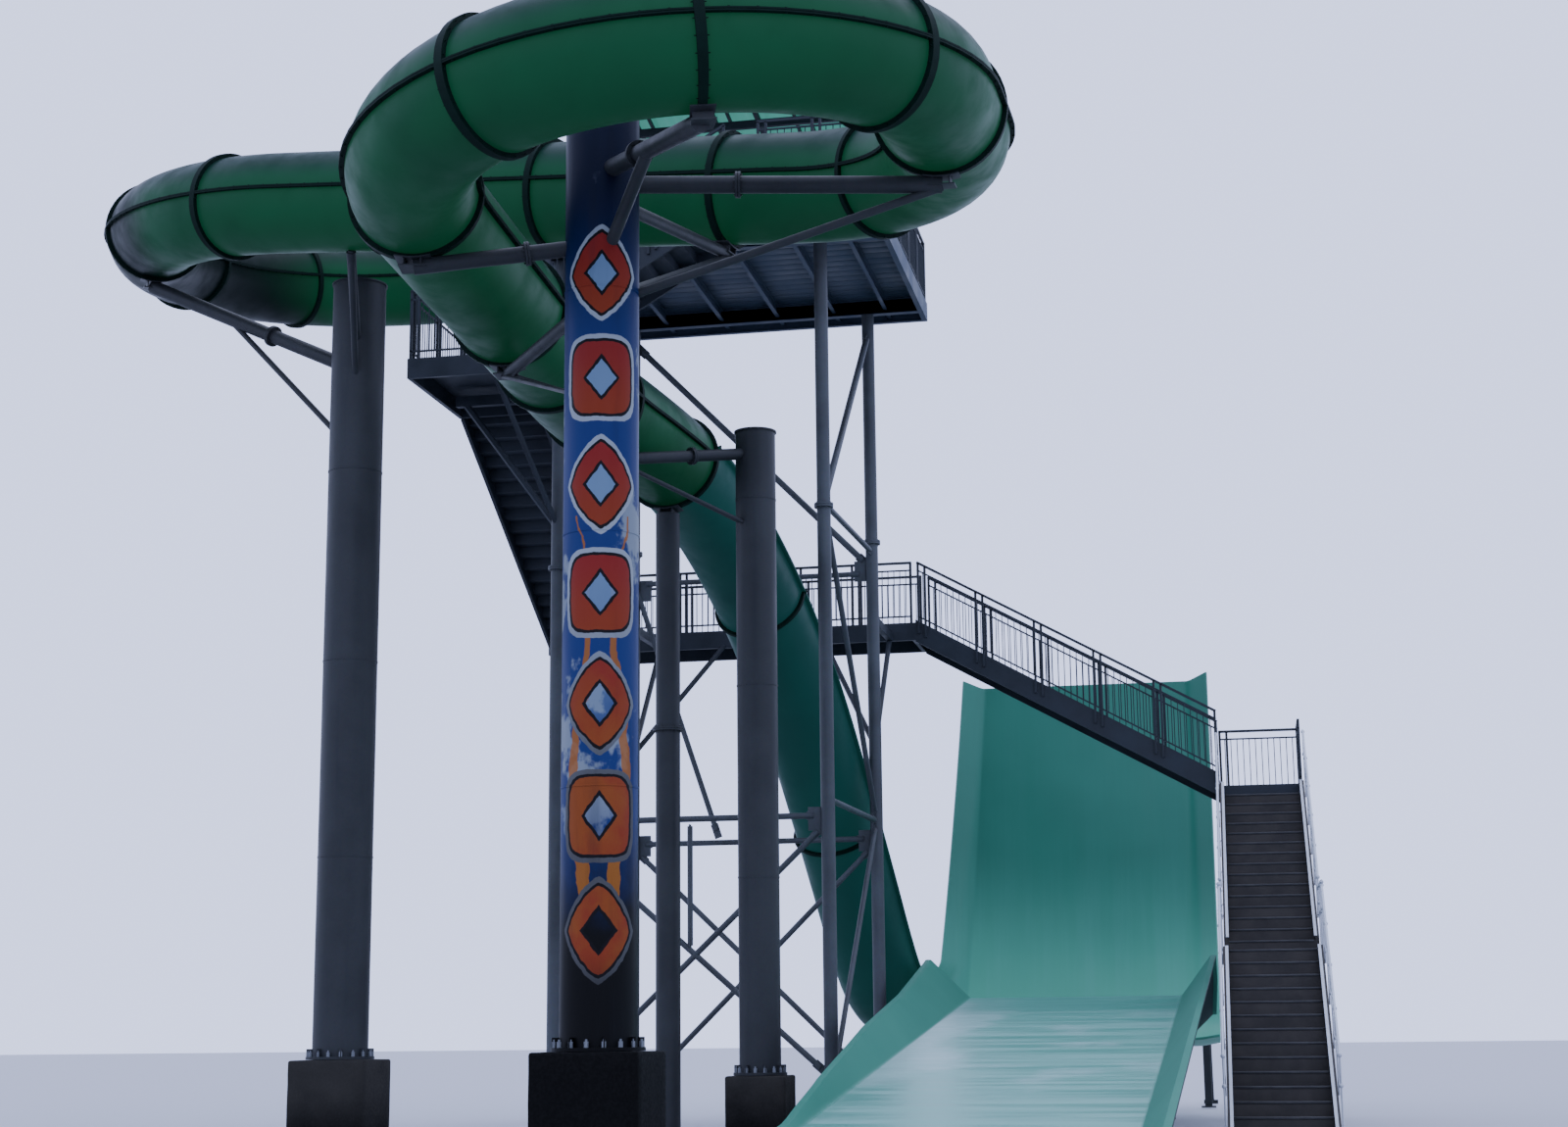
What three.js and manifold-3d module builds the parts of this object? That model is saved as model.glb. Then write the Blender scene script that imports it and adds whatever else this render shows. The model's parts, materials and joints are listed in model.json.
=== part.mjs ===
// A raft water slide with its start tower, as a water park builds it.
// A closed glass-fibre tube leaves the roofed start platform, makes a wide left loop and a
// tighter right loop round a painted steel column, opens into a steep chute under the tower,
// climbs a tall curved wall and runs out over a crest along a wide channel.
// Galvanised steel stairs climb in four flights from the right of the channel to the platform.
// Millimetres. The origin is the foot of the main column at ground level.
// +X is to the right as the channel is faced, +Y runs away towards the wall, +Z is up.

import * as THREE from 'three';
import { mergeVertices } from 'three/addons/utils/BufferGeometryUtils.js';
import Module from 'manifold-3d';

const wasm = await Module();
wasm.setup();

// Gap kept where one piece rests on or butts against another
const SEAT = 0.3;

// Closed tube and open chute
const TUBE_OUTER = 750;
const TUBE_WALL = 40;
const FLANGE_OUTER = 815;
const FLANGE_LENGTH = 60;
const SEAM_HALF = 25;
const FLANGE_SLOPE = 4;
const TUBE_SIDES = 16;
const CHORD_ERROR = 55;
const CHUTE_RIM_RISE = 160;
const CHUTE_LIP = 70;
const TUB_LENGTH = 2300;
const PURLIN_DEPTH = 90;

// Plan of the slide line: the start beside the deck, two loops and the drop
const SLIDE_START = -4600;
const FAR_LOOP = { x: -5510, y: 11020, radius: 5100 };
const FAR_LOOP_END_TILT = THREE.MathUtils.degToRad(12);
const NEAR_LOOP_RADIUS = 3050;
const NEAR_LOOP_FAR = { x: 920, y: 1300 };
const NEAR_LOOP_NEAR = { x: 920, y: -200 };
const DROP_BEND_START = 6000;
const DROP_BEND_RADIUS = 10000;
const DROP_HEADING = 0.17;
const DROP_END = 21300;

// Height of the tube's centre at the start, and its fall per metre at distances along the plan
const START_HEIGHT = 16170;
const FALL = [
  [0, 0.10], [4000, 0.15], [11760, 0.15], [15000, 0.13], [24000, 0.125], [35000, 0.10],
  [41000, 0.07], [47000, 0.05], [49000, 0.10], [51000, 0.38], [53100, 0.62], [54300, 0.80],
  [56000, 1.10], [58600, 1.22], [59200, 1.05], [59700, 0.62], [60200, 0.32], [61000, 0.14],
];

// Flanged joints along the plan; the supports stand under some of them
const TUBE_JOINTS = [0, 5900, 8850, 11800, 14750, 23200, 29100, 33680, 39000, 42700, 46600, 49600];
const LOOP_JOINT = 11800;
const CROSSING_JOINT = 23200;
const RIGHT_JOINT = 29100;
const FRONT_JOINT = 33680;
const RETURN_JOINT = 39000;
const BELLY_JOINT = 42700;
const CHUTE_ARM_JOINT = 46600;
const CHUTE_JOINTS = [49600, 53400, 57200, 60950];

// Columns: x, y, radius, top, footing size and footing height
const MAIN_COLUMN = { x: 0, y: 0, radius: 435, top: 12900, footing: 1250, footingTop: 1430 };
const LEFT_COLUMN = { x: -5860, y: 7200, radius: 400, top: 12970, footing: 1150, footingTop: 1300 };
const CHUTE_COLUMN = { x: -80, y: 9200, radius: 310, top: 10800, footing: 900, footingTop: 1000 };
const COLUMN_SIDES = 20;
const COLUMN_FLANGE = 40;
const CHUTE_POST = { radius: 190, joint: 6260 };

// Start tower
const LEG_RADIUS = 115;
const LEGS = {
  frontRight: [460, 12200], backRight: [590, 16500], frontLeft: [-4150, 12200], backLeft: [-3940, 16500],
};
const LOW_TIE = 5030;
const FRONT_TIE = 5080;
const DECK_TOP = 15200;
const DECK_DEPTH = 350;
const DECK = { left: -4400, right: 1650, front: 11760, back: 17100, bayLeft: -700, bayFront: 10300 };
const ROOF = { left: -4100, right: 2450, front: 9300, back: 16600, eave: 18250, ridge: 18800 };

// Stairs
const STAIR_WIDTH = 1400;
const RISER = 200;
const TREAD = 310;
const STRINGER = 60;
const STRINGER_DEPTH = 430;
const STRINGER_NOSE = 60;
const STEP_PLATE = 35;
const RAIL_HEIGHT = 1200;
const LOW_RAIL_HEIGHT = 1060;
const RAIL_BAR = 50;
const POST_PITCH = 1200;
const FLIGHT_1 = { x: 7450, y: 8020, lower: 14, upper: 16 };
const MID_LANDING = 1800;
const BRIDGE_LEVEL = 9300;
const BRIDGE = { left: -6200, right: 1100, front: 18560, back: 19960 };
const TOP_LANDING = { left: -6200, right: -4700, front: 10300, back: 13000, level: 12700 };

// Wall, run-out channel and their steelwork
const SHELL = 45;
const WALL = { left: 1320, right: 6450, entryLeft: -620, foot: 900, fold: 400, foldRise: 250, horn: 100 };
const WALL_PROFILE = [
  [20930, 1440], [21500, 1330], [22250, 1700], [22950, 2900], [23600, 4700], [24200, 6900], [24600, 8850],
];
const WALL_FRAME = { y: 25450, top: 8700, post: 150, foot: 300, levels: [1900, 4000, 6200, 8400] };
const RUN_OUT = {
  floorLeft: 1880, floorRight: 5820, crestY: 19400, crest: 2200, end: -1500, fall: 0.098, far: 20930, lip: 90,
};
const LEFT_RIM = [
  [1700, 100], [2500, 190], [3900, 320], [6500, 400], [9000, 490], [14000, 520], [19400, 730],
];
const RUN_OUT_POSTS = [18700, 15300, 11900, 8500, 5100, 1700];

const GALVANISED = { color: 0x6a737b, roughness: 0.55, metalness: 0.6 };
const DARK_STEEL = { color: 0x3c434b, roughness: 0.6, metalness: 0.5 };
const PALE_STEEL = { color: 0xb9bec4, roughness: 0.4, metalness: 0.6 };
const PAINTED_BLUE = { color: 0x2f5f9e, roughness: 0.5, metalness: 0.1 };
const CONCRETE = { color: 0x4b4a4b, roughness: 0.9, metalness: 0 };
const GREEN_FIBRE = { color: 0x0f5236, roughness: 0.3, metalness: 0 };
const CHUTE_FIBRE = { color: 0x173f36, roughness: 0.35, metalness: 0 };
const TEAL_FIBRE = { color: 0x2c8577, roughness: 0.35, metalness: 0 };
const AQUA_FIBRE = { color: 0x7db8b2, roughness: 0.3, metalness: 0 };
const ROOF_SHEET = { color: 0x4f9a88, roughness: 0.4, metalness: 0 };

const UP = new THREE.Vector3(0, 0, 1);
const tower = new THREE.Group();
tower.name = 'water_slide_tower';

// A closed geometry as a solid that can be joined and cut
function solid(geometry) {
  const bare = new THREE.BufferGeometry();
  bare.setAttribute('position', geometry.getAttribute('position').clone());
  if (geometry.index) bare.setIndex(geometry.index.clone());
  const merged = mergeVertices(bare, 0.01);
  const corners = merged.index.array;
  const points = merged.getAttribute('position').array;
  const faces = [];
  for (let i = 0; i < corners.length; i += 3) {
    const [a, b, c] = [corners[i], corners[i + 1], corners[i + 2]];
    if (a !== b && b !== c && c !== a) faces.push(a, b, c);
  }
  if (signedVolume(points, faces) < 0) {
    for (let i = 0; i < faces.length; i += 3) {
      [faces[i], faces[i + 1]] = [faces[i + 1], faces[i]];
    }
  }
  const mesh = new wasm.Mesh({ numProp: 3, vertProperties: points, triVerts: new Uint32Array(faces) });
  return new wasm.Manifold(mesh);
}

function signedVolume(points, faces) {
  const [a, b, c] = [new THREE.Vector3(), new THREE.Vector3(), new THREE.Vector3()];
  let volume = 0;
  for (let i = 0; i < faces.length; i += 3) {
    a.fromArray(points, faces[i] * 3);
    b.fromArray(points, faces[i + 1] * 3);
    c.fromArray(points, faces[i + 2] * 3);
    volume += a.dot(b.cross(c)) / 6;
  }
  return volume;
}

function union(solids) {
  return solids.reduce((whole, piece) => whole.add(piece));
}

function cut(whole, cutters) {
  return cutters.reduce((rest, cutter) => rest.subtract(cutter), whole);
}

function addPart(name, body, finish) {
  const mesh = body.asOriginal().simplify(0.05).getMesh();
  const geometry = new THREE.BufferGeometry();
  geometry.setAttribute('position', new THREE.BufferAttribute(new Float32Array(mesh.vertProperties), 3));
  geometry.setIndex([...mesh.triVerts]);
  geometry.computeVertexNormals();
  const part = new THREE.Mesh(geometry, new THREE.MeshStandardMaterial(finish));
  part.name = name;
  tower.add(part);
}

function box(minimum, maximum) {
  const size = maximum.map((value, axis) => value - minimum[axis]);
  const geometry = new THREE.BoxGeometry(...size);
  geometry.translate(...minimum.map((value, axis) => value + size[axis] / 2));
  return solid(geometry);
}

// A round bar between two points
function strut(start, end, radius, sides = 6) {
  const from = new THREE.Vector3(...start);
  const along = new THREE.Vector3(...end).sub(from);
  const geometry = new THREE.CylinderGeometry(radius, radius, along.length(), sides);
  geometry.translate(0, along.length() / 2, 0);
  const upright = new THREE.Vector3(0, 1, 0);
  geometry.applyQuaternion(new THREE.Quaternion().setFromUnitVectors(upright, along.normalize()));
  geometry.translate(...start);
  return solid(geometry);
}

function pole(x, y, radius, bottom, top, sides = 10) {
  return strut([x, y, bottom], [x, y, top], radius, sides);
}

// A rectangular bar between two points, its width level and its depth in the upright plane
function bar(start, end, width, depth) {
  const from = new THREE.Vector3(...start);
  const along = new THREE.Vector3(...end).sub(from);
  const length = along.length();
  const forward = along.normalize();
  const side = Math.abs(forward.z) > 0.999 ? new THREE.Vector3(1, 0, 0)
    : new THREE.Vector3().crossVectors(UP, forward).normalize();
  const top = new THREE.Vector3().crossVectors(forward, side);
  const geometry = new THREE.BoxGeometry(width, depth, length);
  geometry.translate(0, 0, length / 2);
  geometry.applyMatrix4(new THREE.Matrix4().makeBasis(side, top, forward));
  geometry.translate(...start);
  return solid(geometry);
}

// An outline in a level or upright plane, given depth along the third axis
function extrude(outline, depth, holes = []) {
  const shape = new THREE.Shape(outline.map(([x, y]) => new THREE.Vector2(x, y)));
  for (const hole of holes) shape.holes.push(new THREE.Path(hole.map(([x, y]) => new THREE.Vector2(x, y))));
  return new THREE.ExtrudeGeometry(shape, { depth, bevelEnabled: false });
}

// Closed outlines with equal point counts, joined one after another and capped at both ends
function loft(rings, capOutline) {
  const count = rings[0].length;
  const positions = rings.flat().flatMap((point) => point.toArray());
  const faces = [];
  for (let r = 0; r + 1 < rings.length; r += 1) {
    for (let i = 0; i < count; i += 1) {
      const [a, b] = [r * count + i, r * count + ((i + 1) % count)];
      faces.push(a, b, b + count, a, b + count, a + count);
    }
  }
  const last = (rings.length - 1) * count;
  const clockwise = THREE.ShapeUtils.isClockWise(capOutline);
  for (const [a, second, third] of THREE.ShapeUtils.triangulateShape(capOutline, [])) {
    const [b, c] = clockwise ? [third, second] : [second, third];
    faces.push(a, c, b, last + a, last + b, last + c);
  }
  const geometry = new THREE.BufferGeometry();
  geometry.setAttribute('position', new THREE.BufferAttribute(new Float32Array(positions), 3));
  geometry.setIndex(faces);
  return solid(geometry);
}

// The slide's centreline: a plan of lines and arcs, and a height that falls along it
class SlideLine {
  constructor() {
    const { x, y, radius } = FAR_LOOP;
    const quarter = Math.PI / 2;
    const left = NEAR_LOOP_NEAR.x - NEAR_LOOP_RADIUS;
    this.plan = new THREE.Path();
    this.plan.moveTo(SLIDE_START, y + radius);
    this.plan.lineTo(x, y + radius);
    this.plan.absarc(x, y, radius, quarter, 3 * quarter - FAR_LOOP_END_TILT, false);
    const nearStart = quarter - FAR_LOOP_END_TILT;
    this.plan.absarc(NEAR_LOOP_FAR.x, NEAR_LOOP_FAR.y, NEAR_LOOP_RADIUS, nearStart, 0, true);
    this.plan.absarc(NEAR_LOOP_NEAR.x, NEAR_LOOP_NEAR.y, NEAR_LOOP_RADIUS, 0, -Math.PI, true);
    const dropCentre = left + DROP_BEND_RADIUS;
    this.plan.absarc(dropCentre, DROP_BEND_START, DROP_BEND_RADIUS, Math.PI, Math.PI - DROP_HEADING, true);
    const corner = this.plan.currentPoint;
    const run = DROP_END - corner.y;
    this.plan.lineTo(corner.x + run * Math.tan(DROP_HEADING), corner.y + run);
    this.plan.arcLengthDivisions = 50;
    this.length = this.plan.getLength();
  }

  height(distance) {
    let height = START_HEIGHT;
    for (let i = 0; i + 1 < FALL.length; i += 1) {
      const [[from, fallFrom], [to, fallTo]] = [FALL[i], FALL[i + 1]];
      if (distance <= from) break;
      const reach = Math.min(distance, to) - from;
      const fallReached = fallFrom + (fallTo - fallFrom) * reach / (to - from);
      height -= reach * (fallFrom + fallReached) / 2;
    }
    return height;
  }

  point(distance) {
    const flat = this.plan.getPoint(THREE.MathUtils.clamp(distance / this.length, 0, 1));
    return new THREE.Vector3(flat.x, flat.y, this.height(distance));
  }

  // Point, left-hand side and upward side of the line at a distance along the plan
  frame(distance) {
    const ahead = this.point(distance + 20);
    const behind = this.point(Math.max(distance - 20, 0));
    const forward = ahead.sub(behind).normalize();
    const left = new THREE.Vector3().crossVectors(UP, forward).normalize();
    const up = new THREE.Vector3().crossVectors(forward, left);
    return { point: this.point(distance), forward, left, up };
  }
}

const line = new SlideLine();

// Distances from start to end, close enough that the chords between them stay near the line
function stations(start, end) {
  for (let steps = 1; ; steps += 1) {
    const distances = Array.from({ length: steps + 1 }, (_, i) => start + (end - start) * i / steps);
    const errors = distances.slice(1).map((distance, i) => {
      const middle = line.point(distance).add(line.point(distances[i])).divideScalar(2);
      return middle.distanceTo(line.point((distance + distances[i]) / 2));
    });
    if (Math.max(...errors) < CHORD_ERROR) return distances;
  }
}

// Corners round the slide line at a radius
function roundOutline(radius) {
  return new THREE.EllipseCurve(0, 0, radius, radius).getPoints(TUBE_SIDES).slice(0, TUBE_SIDES);
}

// The same with a square rib at each side, where the tube's upper and lower halves are bolted together
function ribbedOutline(radius, rib, half) {
  const root = radius - half * Math.tan(Math.PI / TUBE_SIDES);
  const ribAt = (side) => [[root, -half], [rib, -half], [rib, half], [root, half]]
    .map(([x, y]) => new THREE.Vector2(side * x, side * y));
  const ring = roundOutline(radius);
  const opposite = TUBE_SIDES / 2;
  return [...ribAt(1), ...ring.slice(1, opposite), ...ribAt(-1), ...ring.slice(opposite + 1)];
}

// Distances at which a section of the slide has a ring, between its two flanges
function between(start, end) {
  return stations(start, end).slice(1, -1);
}

// Outside of a closed section, with its ribs and a flange at each end.
// Grown, it is the room that steelwork next to it must leave free.
function pipe(start, end, grow = 0) {
  const rib = FLANGE_OUTER + grow;
  const wall = ribbedOutline(TUBE_OUTER + grow, rib, SEAM_HALF + grow);
  const flange = ribbedOutline(rib, rib, SEAM_HALF + grow);
  const half = FLANGE_LENGTH / 2 + grow;
  const sections = [
    [start + SEAT / 2 - grow, flange], [start + half, flange], [start + half + FLANGE_SLOPE, wall],
    ...between(start + half, end - half).map((distance) => [distance, wall]),
    [end - half - FLANGE_SLOPE, wall], [end - half, flange], [end - SEAT / 2 + grow, flange],
  ];
  return loft(sections.map(([distance, outline]) => onLine(distance, outline)), flange);
}

// Round bore of a closed section, open at both ends
function pipeBore(start, end) {
  const outline = roundOutline(TUBE_OUTER - TUBE_WALL);
  const half = FLANGE_LENGTH / 2;
  const distances = [start, start + half, ...between(start + half, end - half), end - half, end];
  return loft(distances.map((distance) => onLine(distance, outline)), outline);
}

// Lower half of a round section, from left to right
function halfRound(radius) {
  const steps = TUBE_SIDES / 2;
  return Array.from({ length: steps + 1 }, (_, i) => {
    const angle = Math.PI * (1 + i / steps);
    return [radius * Math.cos(angle), radius * Math.sin(angle)];
  });
}

// Open chute section: a half-round trough with upright rims and turned-out lips
function troughOutline(grow) {
  const outer = TUBE_OUTER + grow;
  const inner = TUBE_OUTER - TUBE_WALL;
  const lip = TUBE_OUTER + CHUTE_LIP;
  const low = CHUTE_RIM_RISE - TUBE_WALL;
  return [
    [-lip, CHUTE_RIM_RISE], [-lip, low], ...halfRound(outer), [lip, low],
    [lip, CHUTE_RIM_RISE], [inner, CHUTE_RIM_RISE], ...halfRound(inner).reverse(), [-inner, CHUTE_RIM_RISE],
  ].map(([x, y]) => new THREE.Vector2(x, y));
}

// An outline drawn to the left and upwards, placed square to the line at a distance
function onLine(distance, outline) {
  const { point, left, up } = line.frame(distance);
  return outline.map(({ x, y }) => point.clone().addScaledVector(left, x).addScaledVector(up, y));
}

function trough(start, end) {
  const plain = troughOutline(0);
  const flanged = troughOutline(FLANGE_OUTER - TUBE_OUTER);
  const half = FLANGE_LENGTH / 2;
  const sections = [
    [start + SEAT / 2, flanged], [start + half, flanged], [start + half + FLANGE_SLOPE, plain],
    ...between(start + half, end - half).map((distance) => [distance, plain]),
    [end - half - FLANGE_SLOPE, plain], [end - half, flanged], [end - SEAT / 2, flanged],
  ];
  return loft(sections.map(([distance, outline]) => onLine(distance, outline)), plain);
}

const tubes = TUBE_JOINTS.slice(1).map((end, i) => ({ start: TUBE_JOINTS[i], end }));
tubes.forEach(({ start, end }, i) => {
  addPart(`tube_${i + 1}`, pipe(start, end).subtract(pipeBore(start, end)), GREEN_FIBRE);
});
CHUTE_JOINTS.slice(1).forEach((end, i) => {
  addPart(`chute_${i + 1}`, trough(CHUTE_JOINTS[i], end), CHUTE_FIBRE);
});

// Room that the tube takes up, used to stop steelwork just short of it
const tubeRoom = tubes.map(({ start, end }) => pipe(start, end, SEAT));

// Room that the first chute section takes up, with its inside
function chuteRoom() {
  const size = FLANGE_OUTER + SEAT;
  const outline = halfRound(size);
  outline.push([size, TUBE_OUTER], [-size, TUBE_OUTER]);
  const section = outline.map(([x, y]) => new THREE.Vector2(x, y));
  const [start, end] = [CHUTE_JOINTS[0] - SEAT, CHUTE_JOINTS[1] + SEAT];
  const distances = [start, ...stations(start + 2 * FLANGE_LENGTH, end)];
  return loft(distances.map((distance) => onLine(distance, section)), section);
}

// Start tub: an open trough on two cradles, which leads off the deck into the first tube
{
  const { point, forward, left, up } = line.frame(0);
  const floor = point.z - TUBE_OUTER;
  const section = troughOutline(0);
  const mouth = point.clone().addScaledVector(forward, -SEAT / 2);
  const end = SLIDE_START + TUB_LENGTH;
  const rings = [
    section.map(({ x, y }) => mouth.clone().addScaledVector(left, x).addScaledVector(up, y)),
    section.map(({ x, y }) => new THREE.Vector3(end, point.y - x, point.z + y)),
  ];
  const inside = TUBE_OUTER - TUBE_WALL;
  const along = (radius, length, middle) => {
    const geometry = new THREE.CylinderGeometry(radius, radius, length, TUBE_SIDES);
    geometry.rotateZ(Math.PI / 2);
    geometry.translate(middle, point.y, point.z);
    return solid(geometry);
  };
  const overlap = 10;
  const reach = inside + overlap;
  const back = box(
    [end - TUBE_WALL, point.y - reach, point.z - overlap],
    [end, point.y + reach, point.z + CHUTE_RIM_RISE],
  );
  const lowHalf = along(reach, TUBE_WALL, end - TUBE_WALL / 2).intersect(box(
    [SLIDE_START, point.y - TUBE_OUTER, floor], [end + overlap, point.y + TUBE_OUTER, point.z],
  ));
  const cradles = [SLIDE_START + 550, end - 350].map((x) => box(
    [x - 60, point.y - 420, DECK_TOP + SEAT], [x + 60, point.y + 420, floor + 160],
  ));
  const bore = along(inside + overlap / 2, TUB_LENGTH + 200, SLIDE_START + TUB_LENGTH / 2);
  addPart('start_tub', union([
    loft(rings, section), back, lowHalf, union(cradles).subtract(bore),
  ]), CHUTE_FIBRE);
}

// A column with its cap flange on a square concrete footing
function column(name, spec, finish) {
  const { x, y, radius, top, footing, footingTop } = spec;
  const cap = pole(x, y, radius + 25, top - COLUMN_FLANGE, top, COLUMN_SIDES);
  const base = pole(x, y, radius + 90, footingTop + SEAT, footingTop + COLUMN_FLANGE, COLUMN_SIDES);
  const shaft = pole(x, y, radius, footingTop + SEAT, top, COLUMN_SIDES);
  addPart(name, union([shaft, cap, base]), finish);
  const half = footing / 2;
  addPart(`${name}_footing`, box([x - half, y - half, 0], [x + half, y + half, footingTop]), CONCRETE);
}

column('main_column', MAIN_COLUMN, PAINTED_BLUE);
column('left_column', LEFT_COLUMN, GALVANISED);
column('chute_column', CHUTE_COLUMN, GALVANISED);

// Clamp collar round a column, open in the middle by the column's own radius
function collar(spec, bottom, top, thickness = 35) {
  const { x, y, radius } = spec;
  return pole(x, y, radius + thickness, bottom, top, COLUMN_SIDES).subtract(columnRoom(spec));
}

function columnRoom(spec) {
  return pole(spec.x, spec.y, spec.radius + SEAT, -10, spec.top + 400, COLUMN_SIDES);
}

// Point square below the slide line, this far from its centre
function below(distance, drop, aside = 0) {
  const { point, left, up } = line.frame(distance);
  return point.addScaledVector(up, -drop).addScaledVector(left, aside).toArray();
}

// Saddle plate under a flange joint, curved by the cut that the tube makes in it
function saddle(distance, width = 520) {
  const { point, left, up, forward } = line.frame(distance);
  const geometry = new THREE.BoxGeometry(width, 150, 260);
  geometry.translate(0, 60 - FLANGE_OUTER, 0);
  geometry.applyMatrix4(new THREE.Matrix4().makeBasis(left, up, forward.negate()).setPosition(point));
  return solid(geometry);
}

// The biggest body of a cut solid, without the slivers that a cut leaves behind
function largest(body) {
  return body.decompose().sort((a, b) => b.volume() - a.volume())[0];
}

// The arms of a column as one welded bracket, open for the column and the tubes
function addBrackets(name, arms, spec) {
  addPart(name, largest(cut(union(arms), [columnRoom(spec), ...tubeRoom])), GALVANISED);
}

// Part of the way from one point to another
function partWay(from, to, share) {
  return from.map((value, axis) => value + (to[axis] - value) * share);
}

// Brackets of the main column: arms to the two loops, with their braces
{
  const onColumn = (height) => [MAIN_COLUMN.x, MAIN_COLUMN.y, height];
  const front = below(FRONT_JOINT, FLANGE_OUTER);
  const right = below(RIGHT_JOINT, FLANGE_OUTER);
  const arms = [
    collar(MAIN_COLUMN, 11150, 11850),
    collar(MAIN_COLUMN, 9650, 10950),
    collar(MAIN_COLUMN, 8750, 9100),
    strut(onColumn(11650), front, 105, 8),
    strut(onColumn(10500), partWay(onColumn(11650), front, 0.5), 75),
    strut(onColumn(11500), right, 105, 8),
    strut(onColumn(10000), right, 50),
    strut(onColumn(11350), below(CROSSING_JOINT, FLANGE_OUTER), 80),
    strut(onColumn(10050), below(CROSSING_JOINT, FLANGE_OUTER + 20, 150), 70),
    strut(onColumn(10750), below(RETURN_JOINT, FLANGE_OUTER), 95, 8),
    strut(onColumn(10150), below(BELLY_JOINT, FLANGE_OUTER), 80),
    strut([-150, 0, 8900], below(BELLY_JOINT, FLANGE_OUTER + 20, 60), 30),
    strut([-150, 120, 8900], below(BELLY_JOINT, FLANGE_OUTER + 20, -80), 30),
    ...[FRONT_JOINT, RIGHT_JOINT, CROSSING_JOINT, RETURN_JOINT, BELLY_JOINT].map((joint) => saddle(joint)),
  ];
  addBrackets('main_column_brackets', arms, MAIN_COLUMN);
}

// Brackets of the left column, which carries the wide loop
{
  const { x, y } = LEFT_COLUMN;
  const loop = below(LOOP_JOINT, FLANGE_OUTER);
  const arms = [
    collar(LEFT_COLUMN, 11150, 11950),
    collar(LEFT_COLUMN, 10150, 10450),
    collar(LEFT_COLUMN, 10850, 11050),
    strut([x, y, 11600], loop, 110, 8),
    strut([x, y, 10300], partWay([x, y, 11600], loop, 0.62), 45),
    strut([x, y, 10950], below(17100, TUBE_OUTER - 20), 50),
    strut([x, y, 11700], below(17100, TUBE_OUTER - 20), 70),
    saddle(LOOP_JOINT),
  ];
  addBrackets('left_column_brackets', arms, LEFT_COLUMN);
}

// Arm of the chute column and the prop below the start of the drop
{
  const { x, y } = CHUTE_COLUMN;
  const reach = below(CHUTE_ARM_JOINT, FLANGE_OUTER);
  const arms = [
    collar(CHUTE_COLUMN, 10200, 10650, 30),
    collar(CHUTE_COLUMN, 9100, 9400, 30),
    strut([x, y, 10450], reach, 90, 8),
    strut([x, y + 90, 9250], partWay([x, y + 90, 10450], reach, 0.88), 32),
    strut([x, y - 90, 9250], partWay([x, y - 90, 10450], reach, 0.88), 32),
    saddle(CHUTE_ARM_JOINT),
  ];
  addBrackets('chute_column_arm', arms, CHUTE_COLUMN);

  const [postX, postY, top] = below(CHUTE_JOINTS[0], FLANGE_OUTER);
  const post = union([
    pole(postX, postY, CHUTE_POST.radius, 0, top),
    pole(postX, postY, CHUTE_POST.radius + 45, CHUTE_POST.joint - 35, CHUTE_POST.joint + 35),
    pole(postX, postY, CHUTE_POST.radius + 130, 0, 40),
    saddle(CHUTE_JOINTS[0]),
  ]);
  addPart('chute_post', largest(cut(post, [...tubeRoom, chuteRoom()])), GALVANISED);
}

// Start tower: four legs, the side frames, and the front and back bracing
const DECK_UNDERSIDE = DECK_TOP - DECK_DEPTH;

function leg([x, y], collarHeight) {
  return union([
    pole(x, y, LEG_RADIUS, 0, DECK_UNDERSIDE - SEAT),
    pole(x, y, LEG_RADIUS + 45, collarHeight - 35, collarHeight + 35),
    pole(x, y, LEG_RADIUS + 110, 0, 35),
  ]);
}

function onLeg([x, y], height) {
  return [x, y, height];
}

// Plate on the inner side of a leg that takes the ends of the braces
function gusset([x, y], height) {
  const [from, to] = x < 0 ? [x, x + 330] : [x - 330, x];
  return box([from, y - 15, height - 190], [to, y + 15, height + 190]);
}

function legCutter([x, y]) {
  return pole(x, y, LEG_RADIUS + SEAT, -10, DECK_TOP);
}

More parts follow.
